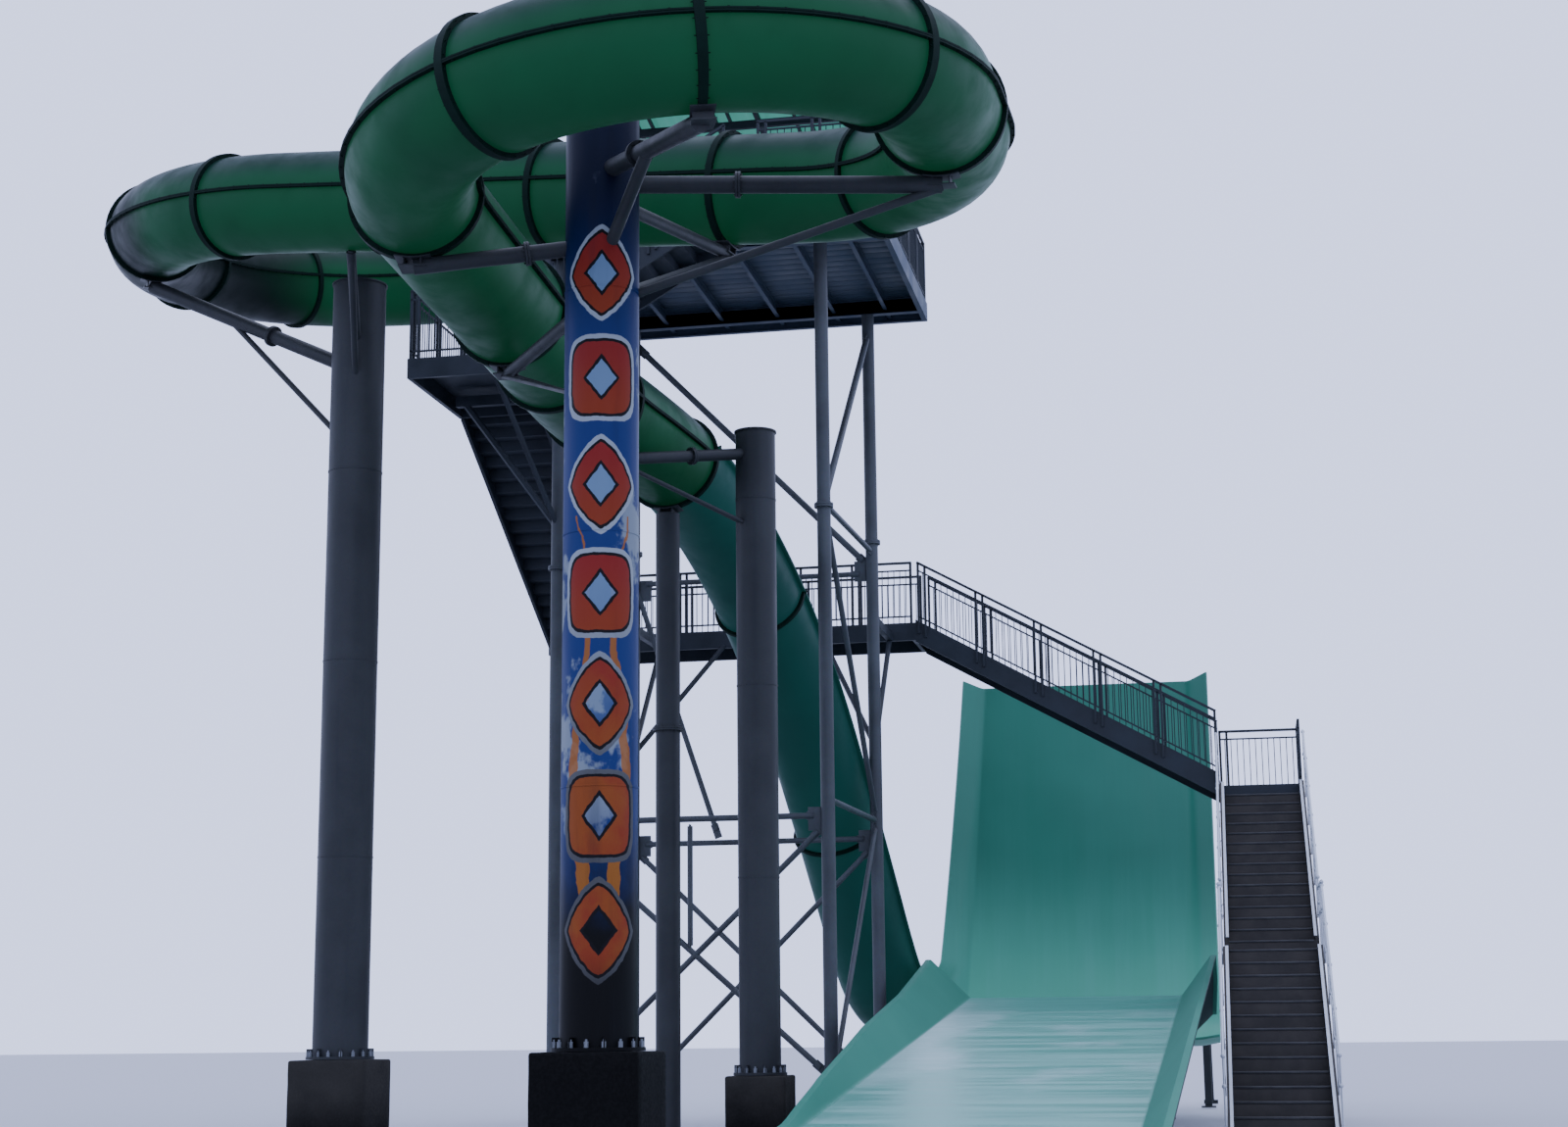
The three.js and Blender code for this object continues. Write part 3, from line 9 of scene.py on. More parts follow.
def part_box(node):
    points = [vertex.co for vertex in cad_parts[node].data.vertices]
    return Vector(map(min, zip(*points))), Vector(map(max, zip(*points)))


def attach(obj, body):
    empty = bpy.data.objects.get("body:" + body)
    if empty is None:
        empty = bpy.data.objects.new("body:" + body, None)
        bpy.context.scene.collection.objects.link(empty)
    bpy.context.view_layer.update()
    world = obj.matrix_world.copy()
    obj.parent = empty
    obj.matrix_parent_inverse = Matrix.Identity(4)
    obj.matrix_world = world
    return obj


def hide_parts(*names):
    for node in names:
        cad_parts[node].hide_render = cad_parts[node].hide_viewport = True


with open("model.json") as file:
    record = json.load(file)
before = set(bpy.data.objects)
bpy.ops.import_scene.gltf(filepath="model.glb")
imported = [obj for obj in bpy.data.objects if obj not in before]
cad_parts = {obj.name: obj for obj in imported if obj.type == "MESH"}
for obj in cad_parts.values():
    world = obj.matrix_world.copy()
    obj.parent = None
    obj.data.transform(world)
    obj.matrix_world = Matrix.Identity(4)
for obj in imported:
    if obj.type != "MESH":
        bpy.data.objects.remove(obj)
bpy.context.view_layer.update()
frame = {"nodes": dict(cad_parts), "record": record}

# The camera stands in front of the run-out at eye height, turned a little to the left and up,
# with the slight lean of a camera held by hand.
EYE = (7.12, -25.6, 1.6)
YAW = math.radians(11.0)
PITCH = math.radians(11.3)
LEAN = math.radians(-0.6)
FOCAL_LENGTH = 54
bpy.ops.object.camera_add()
camera = bpy.context.object
camera.matrix_world = (
    Matrix.Translation(EYE) @ Matrix.Rotation(YAW, 4, "Z")
    @ Matrix.Rotation(math.pi / 2 + PITCH, 4, "X") @ Matrix.Rotation(LEAN, 4, "Z")
)
camera.data.lens = FOCAL_LENGTH
camera.data.clip_end = 400
bpy.context.scene.camera = camera


# The footings are square blocks of dark, stained concrete with worn edges.
# A steel template plate and a ring of anchor bolts on each one hold the column's base.
class Value:
    """A number or colour in a finish. Arithmetic on it adds Math nodes."""

    def __init__(self, finish, socket):
        self.finish = finish
        self.socket = socket

    def maths(self, operation, first, second):
        return self.finish.node("ShaderNodeMath", {"operation": operation}, {0: first, 1: second})

    def __add__(self, other):
        return self.maths("ADD", self, other)

    def __sub__(self, other):
        return self.maths("SUBTRACT", self, other)

    def __rsub__(self, other):
        return self.maths("SUBTRACT", other, self)

    def __mul__(self, other):
        return self.maths("MULTIPLY", self, other)

    def __truediv__(self, other):
        return self.maths("DIVIDE", self, other)

    def __mod__(self, other):
        return self.maths("FLOORED_MODULO", self, other)

    def __gt__(self, other):
        return self.maths("GREATER_THAN", self, other)

    def __lt__(self, other):
        return self.maths("LESS_THAN", self, other)

    def __abs__(self):
        return self.maths("ABSOLUTE", self, 0)

    def power(self, exponent):
        return self.maths("POWER", self, exponent)

    __radd__ = __add__
    __rmul__ = __mul__


class Finish:
    """A material with one Principled shader. Numbers are set on it, and expressions are linked to it."""

    def __init__(self, name, **fixed):
        self.material = bpy.data.materials.new(name)
        self.material.use_nodes = True
        self.tree = self.material.node_tree
        self.shader = self.tree.nodes["Principled BSDF"]
        self.set(**fixed)

    def put(self, socket, value):
        if isinstance(value, Value):
            self.tree.links.new(value.socket, socket)
        elif isinstance(value, tuple) and len(value) == 3 and socket.type == "RGBA":
            socket.default_value = (*value, 1)
        else:
            socket.default_value = value

    def set(self, **values):
        for name, value in values.items():
            self.put(self.shader.inputs[name.replace("_", " ").title().replace("Ior", "IOR")], value)

    def node(self, kind, settings=None, inputs=None, output=0):
        """Any node: its settings first, then the values or links of its sockets."""
        made = self.tree.nodes.new(kind)
        for key, value in (settings or {}).items():
            setattr(made, key, value)
        for key, value in (inputs or {}).items():
            self.put(made.inputs[key], value)
        return Value(self, made.outputs[output])

    def place(self, scale=(1, 1, 1), turn=(0, 0, 0)):
        """Object coordinates, turned and scaled."""
        point = self.node("ShaderNodeTexCoord", output="Object")
        return self.node("ShaderNodeMapping", {}, {"Vector": point, "Rotation": turn, "Scale": scale})

    def axis(self, name, of=None):
        return self.node("ShaderNodeSeparateXYZ", {}, {0: of or self.place()}, output=name)

    def noise(self, scale, detail, stretch=(1, 1, 1)):
        return self.node("ShaderNodeTexNoise", {}, {
            "Vector": self.place(stretch), "Scale": scale, "Detail": detail, "Roughness": 0.55,
        })

    def normal(self, axis):
        return self.axis(axis, self.node("ShaderNodeNewGeometry", output="Normal"))

    def between(self, value, low, high, start=0.0, end=1.0):
        """Maps low to high onto start to end, smoothly and clamped."""
        return self.node("ShaderNodeMapRange", {"interpolation_type": "SMOOTHSTEP"}, {
            "Value": value, "From Min": low, "From Max": high, "To Min": start, "To Max": end,
        })

    def mix(self, share, first, second, blend="MIX"):
        return self.node("ShaderNodeMix", {"data_type": "RGBA", "blend_type": blend}, {
            0: share, 6: first, 7: second,
        }, output=2)

    def cover(self, tone, *layers):
        """A colour with others laid over it in turn, each by its share."""
        for share, layer in layers:
            tone = self.mix(share, tone, layer)
        return tone

    def bump(self, height, depth, strength=1.0):
        self.set(normal=self.node("ShaderNodeBump", {}, {
            "Strength": strength, "Distance": depth, "Height": height,
        }))


def shade(red, green, blue):
    """A colour as it looks on screen, 0 to 255, as the light it reflects."""
    levels = (red / 255, green / 255, blue / 255)
    return tuple(v / 12.92 if v < 0.04 else ((v + 0.055) / 1.055) ** 2.4 for v in levels)


def clear():
    bpy.ops.object.select_all(action="DESELECT")


def pick(*objects):
    clear()
    for chosen in objects:
        chosen.select_set(True)
    bpy.context.view_layer.objects.active = objects[0]


def settle(made):
    """Puts an object's place, turn and scale into its mesh."""
    pick(made)
    bpy.ops.object.transform_apply(location=True, rotation=True, scale=True)
    return made


def modify(made, kind, **settings):
    """Adds a modifier and applies it."""
    pick(made)
    modifier = made.modifiers.new(kind.title(), kind)
    for key, value in settings.items():
        setattr(modifier, key, value)
    bpy.ops.object.modifier_apply(modifier=modifier.name)
    return made


def block(low, high, edge=0.0):
    """A box between two corners, with its edges bevelled."""
    size = [b - a for a, b in zip(low, high)]
    middle = [(a + b) / 2 for a, b in zip(low, high)]
    clear()
    bpy.ops.mesh.primitive_cube_add(size=1, location=middle, scale=size)
    made = settle(bpy.context.object)
    if edge:
        modify(made, "BEVEL", width=edge, segments=2)
    return made


def rod(start, end, radius, sides=20, closed=True):
    """A round bar between two points."""
    start, end = Vector(start), Vector(end)
    along = end - start
    clear()
    bpy.ops.mesh.primitive_cylinder_add(
        vertices=sides, radius=radius, depth=along.length, location=(start + end) / 2,
        rotation=along.to_track_quat("Z", "Y").to_euler(), end_fill_type="NGON" if closed else "NOTHING",
    )
    return settle(bpy.context.object)


def paint(made, finish):
    made.data.materials.clear()
    made.data.materials.append(finish.material)
    return made


def join(pieces):
    pick(*pieces)
    if len(pieces) > 1:
        bpy.ops.object.join()
    return bpy.context.object


def mount(made, name, slot, *nodes, smooth=30):
    """Names a finished piece, smooths its round faces and fixes it to the object."""
    pick(made)
    bpy.ops.object.shade_smooth_by_angle(angle=math.radians(smooth))
    made.name = name
    made.data.name = name
    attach(made, "root")
    if nodes:
        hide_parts(*nodes)
    return made


def assemble(parts, finish, name, slot, *nodes):
    """Joins the parts of a piece, paints it and mounts it."""
    return mount(paint(join(parts), finish), name, slot, *nodes)


concrete = Finish("concrete", specular_ior_level=0.1)
stain = concrete.noise(1.6, 8)
pores = concrete.noise(30, 6)
# The concrete goes near black towards the bottom, and all over on the main column's footing at the front.
lighter_above = concrete.between(concrete.axis("Z") + stain * 0.6, 0.3, 1.3)
lighter_behind = concrete.between(concrete.axis("Y"), 0.9, 4.0)
cement = concrete.mix(stain, shade(30, 30, 29), shade(56, 54, 50))
concrete.set(
    base_color=concrete.mix(lighter_above * lighter_behind, shade(10, 10, 10), cement),
    roughness=concrete.between(pores, 0.3, 0.7, 0.75, 0.97),
)
concrete.bump(pores * 0.4 + stain, 0.01)


def galvanised(name, dull, bright, stained):
    """Zinc on steel: a faint spangle, clouded by weather and stained where rain runs down."""
    made = Finish(name, metallic=0.1, specular_ior_level=0.2)
    spangle = made.node("ShaderNodeTexVoronoi", {}, {"Vector": made.place(), "Scale": 34}, output="Color")
    weather = made.noise(0.8, 5)
    runs = made.noise(5, 5, stretch=(1, 1, 0.06))
    grey = made.mix(made.between(weather, 0.3, 0.72), dull, bright)
    grey = made.mix(made.between(runs, 0.55, 0.8, 0, 0.35), grey, stained)
    made.set(
        base_color=made.mix(0.05, grey, spangle, "OVERLAY"),
        roughness=made.between(weather + runs * 0.5, 0.5, 1.0, 0.42, 0.62),
    )
    made.bump(made.noise(60, 3) + runs, 0.001)
    return made


steel = galvanised("galvanised_steel", shade(38, 40, 42), shade(50, 52, 54), shade(30, 35, 42))

bolt_steel = Finish("bolt_steel", base_color=shade(104, 108, 114), metallic=0.3, roughness=0.5)
FOOTINGS = {
    "main_column": {"centre": (0, 0), "radius": 0.435, "top": 12.9},
    "left_column": {"centre": (-5.86, 7.2), "radius": 0.4, "top": 12.97},
    "chute_column": {"centre": (-0.08, 9.2), "radius": 0.31, "top": 10.8},
}
WORN_EDGE = 0.035
CAST_ROUGHNESS = 0.014
for column, spec in FOOTINGS.items():
    low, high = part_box(f"{column}_footing")
    body = block(low, high, WORN_EDGE)
    modify(body, "SUBSURF", subdivision_type="SIMPLE", levels=3, render_levels=3)
    rough = bpy.data.textures.new(f"{column}_cast", "CLOUDS")
    rough.noise_scale = 0.25
    modify(body, "DISPLACE", texture=rough, strength=CAST_ROUGHNESS, mid_level=0.9, texture_coords="GLOBAL")
    mount(paint(body, concrete), f"{column}_block", "concrete", f"{column}_footing", smooth=45)


# The columns are rolled steel tubes on bolted base flanges, each welded up from long drums.
# The main one is painted all over; the other two are bare galvanised steel.
LAP = 0.004
WELD_GAP = 0.0005
UPWARD = (0, 0, 1)


def thicken(made, thickness):
    """Gives a skin its thickness, inwards."""
    return modify(made, "SOLIDIFY", thickness=thickness, offset=-1)


def ring(centre, radius, reach, bottom, top):
    """A flat ring round an upright pipe, standing out from it."""
    made = rod((*centre, bottom), (*centre, top), radius + reach, 64, closed=False)
    return thicken(made, reach + LAP)


def bolt_ring(centre, axis, radius, count, size, length):
    """Bolts through a pair of flanges: one is made, then spun round the axis."""
    centre, axis = Vector(centre), Vector(axis).normalized()
    foot = centre + axis.orthogonal().normalized() * radius - axis * length / 2
    shank = rod(foot, foot + axis * length, size * 0.5, 6)
    nuts = rod(foot + axis * length * 0.2, foot + axis * length * 0.8, size, 6)
    made = join([shank, nuts])
    bpy.ops.object.mode_set(mode="EDIT")
    bpy.ops.mesh.select_all(action="SELECT")
    bpy.ops.mesh.spin(steps=count, dupli=True, angle=math.tau, center=centre, axis=axis)
    bpy.ops.mesh.select_all(action="SELECT")
    bpy.ops.mesh.remove_doubles(threshold=WELD_GAP)
    bpy.ops.object.mode_set(mode="OBJECT")
    return made


ART_FACING = math.radians(15)
ART_LOW = 2.1
ART_HIGH = 10.9
MOTIF_PITCH = 1.257
MOTIF_WIDTH = 0.43
MOTIF_HEIGHT = 0.56
BLOCK_SHARE = 0.88
KERNEL, KERNEL_EDGE = 0.4, 0.5
DARK_LINE, PALE_LINE, MOTIF_END = 0.87, 0.94, 1.05
art = Finish("painted_column", specular_ior_level=0.1)
spot = art.place(turn=(0, 0, -ART_FACING))
forward = 0 - art.axis("Y", spot)
angle = art.node("ShaderNodeMath", {"operation": "ARCTAN2"}, {0: art.axis("X", spot), 1: forward})
across = abs(angle * FOOTINGS["main_column"]["radius"])
height = art.axis("Z")
wobble = art.noise(9, 2) - 0.5
count = (height - ART_LOW) / MOTIF_PITCH
upright = abs(count % 1 - 0.5) * MOTIF_PITCH + wobble * 0.03
wide = across / MOTIF_WIDTH + wobble * 0.06
tall = upright / MOTIF_HEIGHT
lozenge = (wide.power(1.3) + tall.power(1.3)).power(1 / 1.3)
cushion = (wide.power(4) + (tall / BLOCK_SHARE).power(4)).power(1 / 4)
even = (count % 2) > 1
shape = lozenge * (1 - even) + cushion * even
kernel = wide + tall
inside = (height > ART_LOW) * (height < ART_HIGH)
clouds = art.noise(1.5, 5, stretch=(1, 1, 0.8))
# The sky behind the motifs turns navy towards the top of the column: painted shade, where the top stands in
# shadow.
sky = art.mix(art.between(height, 8.8, 11.6), shade(26, 44, 92), shade(7, 15, 36))
white = art.between(clouds, 0.55, 0.6) * art.between(height, 11.6, 10.9) * art.between(height, 3.2, 4.4)
dusk = art.between(height + clouds * 1.6, 5.0, 3.4)
sway = art.node("ShaderNodeMath", {"operation": "SINE"}, {0: height * 1.9 + clouds * 5}) * 0.1
tongue = art.between(height, 3.2, 7.6, 0.075, 0.012)
streak = (abs(across + sway - 0.24) < tongue) * (height > 3.0) * (height < 7.4)
night = shade(5, 5, 6)
ground = art.cover(sky, (white, shade(112, 122, 132)), (dusk, night), (streak * 0.85, shade(140, 84, 24)))
low_down = art.between(height + clouds, 7.6, 4.6)
red = art.mix(art.between(count % 1, 0.1, 0.9), shade(120, 46, 24), shade(118, 30, 28))
red = art.mix(low_down * art.between(clouds, 0.35, 0.6), red, shade(124, 62, 26))
black = shade(12, 10, 14)
rim = art.mix(low_down * 0.8, shade(134, 142, 148), shade(34, 24, 18))
core = art.mix(low_down, shade(96, 118, 142), ground)
motif = art.cover(
    red,
    (kernel < KERNEL_EDGE, black),
    (kernel < KERNEL, core),
    (shape > DARK_LINE, black),
    (shape > PALE_LINE, rim),
)
grime = art.noise(4, 6, stretch=(1, 1, 0.1))
art.set(
    base_color=art.cover(
        ground,
        (inside * (shape < MOTIF_END), motif),
        (art.between(height, 2.6, 1.7), night),
        (art.between(grime, 0.5, 0.75, 0, 0.35), shade(24, 26, 30)),
    ),
    roughness=art.between(grime, 0.3, 0.7, 0.38, 0.6),
)
art.bump(art.noise(40, 3) + grime, 0.001)

DRUM_LENGTH = 2.9
DRUM_WELD, WELD_HALF = 0.006, 0.012
CAP_REACH, CAP_DEPTH = 0.02, 0.03
COLUMN_WALL = 0.016
BASE_REACH, BASE_PLATE = 0.09, 0.04
RIBS, RIB_TOP, RIB_HALF = 8, 0.15, 0.008
ANCHORS, ANCHOR_CIRCLE, ANCHOR_SIZE, ANCHOR_LENGTH = 16, 0.055, 0.026, 0.12
for column, spec in FOOTINGS.items():
    centre, radius, top = spec["centre"], spec["radius"], spec["top"]
    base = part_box(column)[0].z
    shaft = thicken(rod((*centre, base), (*centre, top), radius, 64, closed=False), COLUMN_WALL)
    cap = rod((*centre, top - CAP_DEPTH), (*centre, top - LAP), radius + CAP_REACH, 64)
    parts = [shaft, cap, ring(centre, radius, BASE_REACH, base, base + BASE_PLATE)]
    seam = base + DRUM_LENGTH
    while seam < top - 1:
        parts.append(ring(centre, radius, DRUM_WELD, seam - WELD_HALF, seam + WELD_HALF))
        seam += DRUM_LENGTH
    for turn in range(RIBS):
        spoke = Matrix.Rotation(math.tau * (turn + 0.5) / RIBS, 4, "Z")
        rib = block((radius, -RIB_HALF, base + 0.035), (radius + 0.08, RIB_HALF, base + RIB_TOP))
        rib.matrix_world = Matrix.Translation((*centre, 0)) @ spoke
        parts.append(settle(rib))
    finish = art if column == "main_column" else steel
    slot = "painted_column" if column == "main_column" else "galvanised_steel"
    assemble(parts, finish, f"{column}_shaft", slot, column)
    circle = radius + ANCHOR_CIRCLE
    bolts = bolt_ring((*centre, base + 0.07), UPWARD, circle, ANCHORS, ANCHOR_SIZE, ANCHOR_LENGTH)
    mount(paint(bolts, bolt_steel), f"{column}_bolts", "galvanised_steel")


# The closed tube is moulded green glass-fibre in two half shells per section. The halves meet in
# bolted seams at mid height, and each section ends in a sealed flange with a ring of bolts, painted dark
# for its sealant and as painted shade. Every piece of it is drawn straight along X and then bent along
# the slide's centre line.
TUBE = 0.75
WALL_THICKNESS = 0.04
FLANGE = 0.811
FLANGE_HALF = 0.045
SEAM = 0.061
TUBE_PITCH = 0.24
JOINTS = [0, 5.9, 8.85, 11.8, 14.75, 23.2, 29.1, 33.68, 39.0, 42.7, 46.6, 49.6]
INNER_JOINTS = [2.95, 17.6, 20.4, 25.55, 31.4, 36.0, 44.6]
START_HEIGHT = 16.17
FALL = [
    (0, 0.10), (4, 0.15), (11.76, 0.15), (15, 0.13), (24, 0.125), (35, 0.10), (41, 0.07), (47, 0.05),
    (49, 0.10), (51, 0.38), (53.1, 0.62), (54.3, 0.80), (56, 1.10), (58.6, 1.22), (59.2, 1.05),
    (59.7, 0.62), (60.2, 0.32), (61, 0.14),
]


def arc(x, y, radius, start, end):
    """Points of a level arc, between two directions in degrees."""
    steps = max(1, round(abs(end - start) / 2))
    turns = [math.radians(start + (end - start) * i / steps) for i in range(steps + 1)]
    return [Vector((x + radius * math.cos(t), y + radius * math.sin(t))) for t in turns]


DROP_HEADING = 0.17
corner = arc(7.87, 6, 10, 180, 180 - math.degrees(DROP_HEADING))
run = 21.3 - corner[-1].y
plan = [
    Vector((-4.6, 16.12)), *arc(-5.51, 11.02, 5.1, 90, 258), *arc(0.92, 1.3, 3.05, 78, 0),
    *arc(0.92, -0.2, 3.05, 0, -180), *corner,
    corner[-1] + Vector((run * math.tan(DROP_HEADING), run)),
]


def height_at(distance):
    """Height of the slide's centre line, from its fall at distances along the plan."""
    height = START_HEIGHT
    for (start, fall), (end, next_fall) in zip(FALL, FALL[1:]):
        if distance > start:
            part = min(distance, end) - start
            height -= part * (fall + fall + (next_fall - fall) * part / (end - start)) / 2
    return height


def walk(points, step):
    """Points a fixed step apart along a row of points."""
    found, left_over = [points[0]], step
    for here, there in zip(points, points[1:]):
        length = (there - here).length
        while left_over <= length:
            found.append(here.lerp(there, left_over / length))
            left_over += step
        left_over -= length
    return found


LINE_STEP = 0.1
centre_line = [
    Vector((p.x, p.y, height_at(i * LINE_STEP))) for i, p in enumerate(walk(plan, LINE_STEP))
]
lengths = [0.0]
for here, there in zip(centre_line, centre_line[1:]):
    lengths.append(lengths[-1] + (there - here).length)


def along(distance):
    """Length along the sloping centre line at a distance along the plan."""
    place = distance / LINE_STEP
    i = min(int(place), len(lengths) - 2)
    return lengths[i] + (lengths[i + 1] - lengths[i]) * (place - i)


def bays_between(start, end):
    """A stretch of the slide, drawn straight: where it starts and ends, and its equal bays."""
    first, last = along(start), along(end)
    count = round((last - first) / TUBE_PITCH)
    return first, last, count, (last - first) / count


def square_to(distance, aside, above):
    """Point to the left of the centre line and above it, square to its slope."""
    i = min(max(round(distance / LINE_STEP), 1), len(centre_line) - 2)
    forward = (centre_line[i + 1] - centre_line[i - 1]).normalized()
    left = Vector((0, 0, 1)).cross(forward).normalized()
    return centre_line[i] + left * aside + forward.cross(left) * above


def guide(name, points):
    """A curve that straight pieces are bent along."""
    curve = bpy.data.curves.new(name, "CURVE")
    curve.dimensions = "3D"
    curve.twist_mode = "Z_UP"
    curve.use_deform_bounds = False
    spline = curve.splines.new("POLY")
    spline.points.add(len(points) - 1)
    for point, place in zip(spline.points, points):
        point.co = (*place, 1)
    made = bpy.data.objects.new(name, curve)
    bpy.context.scene.collection.objects.link(made)
    return made


def bend(made, path):
    """Bends a straight piece, drawn along X, so that X runs along the guide."""
    modify(made, "CURVE", object=path, deform_axis="POS_X")
    return made


def row(made, count, step):
    """Copies a piece in a straight row and welds the copies where they meet."""
    return modify(
        made, "ARRAY", count=count, use_relative_offset=False, use_constant_offset=True,
        constant_offset_displace=step, use_merge_vertices=True, merge_threshold=WELD_GAP,
    )


def fibreglass(name, deep, lit, sheen, glow, glow_scale=1.0):
    """Glass-fibre with a painted glow where daylight would shine through from behind, and a grey painted
    sheen on top.
    """
    made = Finish(name, specular_ior_level=0.08)
    facing = made.normal("Z")
    cloud = made.noise(0.45, 3)
    grime = made.noise(2.2, 5)
    # Painted glow: the share of the lit colour and of the emitted glow, on the sides and underside.
    through = made.between(facing, 0.75, 0.15) * made.between(cloud, 0.25, 0.7, 0.7, 1)
    through = through * made.between(facing, -1.0, -0.45, 0.8, 1)
    # The far left end of the loop is painted darker and gets none of the painted glow; lower down the glow
    # fades as painted shade.
    far_left_dark = made.between(made.axis("X"), -8.9, -9.9)
    shaded = made.between(made.axis("Z"), 10.8, 9.6, 0, 0.55)
    through = through * (1 - far_left_dark) * (1 - shaded) * glow_scale
    # The colour: deep, the lit colour where the glow is painted, a painted sheen on the upward faces, the
    # far left end darkened, and grime.
    made.set(
        base_color=made.cover(
            deep,
            (through, lit),
            (made.between(facing, 0.1, 0.8), sheen),
            (far_left_dark * 0.9, shade(5, 19, 16)),
            (made.between(grime, 0.5, 0.8, 0, 0.25), deep),
        ),
        emission_color=made.mix(through, (0, 0, 0), glow),
        emission_strength=1.0,
        roughness=made.between(grime, 0.35, 0.7, 0.4, 0.56),
    )
    made.bump(made.noise(3, 2), 0.002, 0.2)
    return made


# The lit colour and glow are painted light, and the sheen is a painted reflection.
tube_green = fibreglass(
    "tube_fibreglass", shade(6, 32, 24), shade(8, 52, 34), shade(18, 46, 38), shade(8, 57, 34),
)
# The flanges' dark green is partly their sealant and partly painted shade.
sealant_and_shade = Finish("flange_sealant_and_shade", roughness=0.6, specular_ior_level=0.06)
sealant_and_shade.set(base_color=sealant_and_shade.mix(sealant_and_shade.noise(8, 5), shade(6, 20, 16), shade(12, 34, 27)))
slide_guide = guide("slide_guide", centre_line)
SEAM_LIPS = ((-0.022, -0.003), (0.003, 0.022))
SEAM_BOLT, SEAM_BOLT_HALF = 0.012, 0.035
RING_BOLTS, RING_CIRCLE, RING_BOLT, RING_LENGTH = 28, TUBE + 0.036, 0.014, 0.13
for number, (start, end) in enumerate(zip(JOINTS, JOINTS[1:]), 1):
    first, last, count, step = bays_between(start, end)
    shell = rod((first, 0, 0), (first + step, 0, 0), TUBE, 48, closed=False)
    bend(thicken(row(shell, count, (step, 0, 0)), WALL_THICKNESS), slide_guide)
    mount(paint(shell, tube_green), f"tube_shell_{number}", "green_fibreglass", f"tube_{number}")
    trims = []
    for side in (-1, 1):
        inner, outer = sorted((side * (TUBE - 0.01), side * (TUBE + SEAM)))
        for low, high in SEAM_LIPS:
            trims.append(row(block((first, inner, low), (first + step, outer, high)), count, (step, 0, 0)))
        beside = side * (TUBE + SEAM_BOLT_HALF)
        bolt = rod((first, beside, -SEAM_BOLT_HALF), (first, beside, SEAM_BOLT_HALF), SEAM_BOLT, 6)
        trims.append(row(bolt, count, (step, 0, 0)))
    joints = [start, end] + [joint for joint in INNER_JOINTS if start < joint < end]
    for joint in joints:
        at = along(joint)
        low = at if joint == start else at - FLANGE_HALF
        high = at if joint == end else at + FLANGE_HALF
        flange = rod((low, 0, 0), (high, 0, 0), FLANGE, 48, closed=False)
        trims.append(thicken(flange, FLANGE - TUBE + LAP))
        if joint != start:
            trims.append(bolt_ring((at, 0, 0), (1, 0, 0), RING_CIRCLE, RING_BOLTS, RING_BOLT, RING_LENGTH))
    mount(bend(paint(join(trims), sealant_and_shade), slide_guide), f"tube_flanges_{number}", "green_fibreglass")


# Below the tower the tube opens into a chute: a half-round trough with upright rims and turned-out
# lips, in three flanged lengths. The start tub on the deck has the same section.
RIM_RISE = 0.16
LIP = 0.07
FLANGE_LIP = 0.02
CHUTE_FLANGE = 0.03
CHUTE_JOINTS = [49.6, 53.4, 57.2, 60.95]


def trim_above(made, height):
    """Deletes the part of a straight piece above a height and stays in edit mode."""
    pick(made)
    bpy.ops.object.mode_set(mode="EDIT")
    bpy.ops.mesh.select_mode(type="VERT")
    bpy.ops.mesh.select_all(action="DESELECT")
    shell = bmesh.from_edit_mesh(made.data)
    for vert in shell.verts:
        vert.select = vert.co.z > height
    bpy.ops.mesh.delete(type="VERT")


def trough(start, length, radius, lip=LIP):
    """A short length of the chute's skin, drawn along X: half a tube with its rims pulled up and out."""
    made = rod((start, 0, 0), (start + length, 0, 0), radius, 48, closed=False)
    trim_above(made, 0.001)
    for rise, reach in ((RIM_RISE, 0), (0, lip)):
        shell = bmesh.from_edit_mesh(made.data)
        top = max(vert.co.z for vert in shell.verts)
        for edge in shell.edges:
            edge.select = edge.is_boundary and all(vert.co.z > top - 0.001 for vert in edge.verts)
        bpy.ops.mesh.select_mode(type="EDGE")
        bpy.ops.mesh.extrude_region_move(TRANSFORM_OT_translate={"value": (0, 0, rise)})
        if reach:
            bpy.ops.transform.resize(value=(1, (radius + reach) / radius, 1), center_override=(start, 0, 0))
    bpy.ops.object.mode_set(mode="OBJECT")
    return made


# The chute's painted glow is twice as strong as the tube's, and its pale sheen on the upward faces, the
# rims, is a painted highlight.
chute_green = fibreglass(
    "chute_fibreglass", shade(18, 34, 34), shade(16, 50, 46), shade(60, 116, 100), shade(10, 50, 48), 2.0,
)
for number, (start, end) in enumerate(zip(CHUTE_JOINTS, CHUTE_JOINTS[1:]), 1):
    first, last, count, step = bays_between(start, end)
    skin = thicken(row(trough(first, step, TUBE), count, (step, 0, 0)), WALL_THICKNESS)
    bend(paint(skin, chute_green), slide_guide)
    mount(skin, f"chute_skin_{number}", "chute_fibreglass", f"chute_{number}")
    flanges = join([
        thicken(trough(low, CHUTE_FLANGE, FLANGE, FLANGE_LIP), FLANGE - TUBE + LAP)
        for low in (first, last - CHUTE_FLANGE)
    ])
    mount(bend(paint(flanges, sealant_and_shade), slide_guide), f"chute_flanges_{number}", "chute_fibreglass")

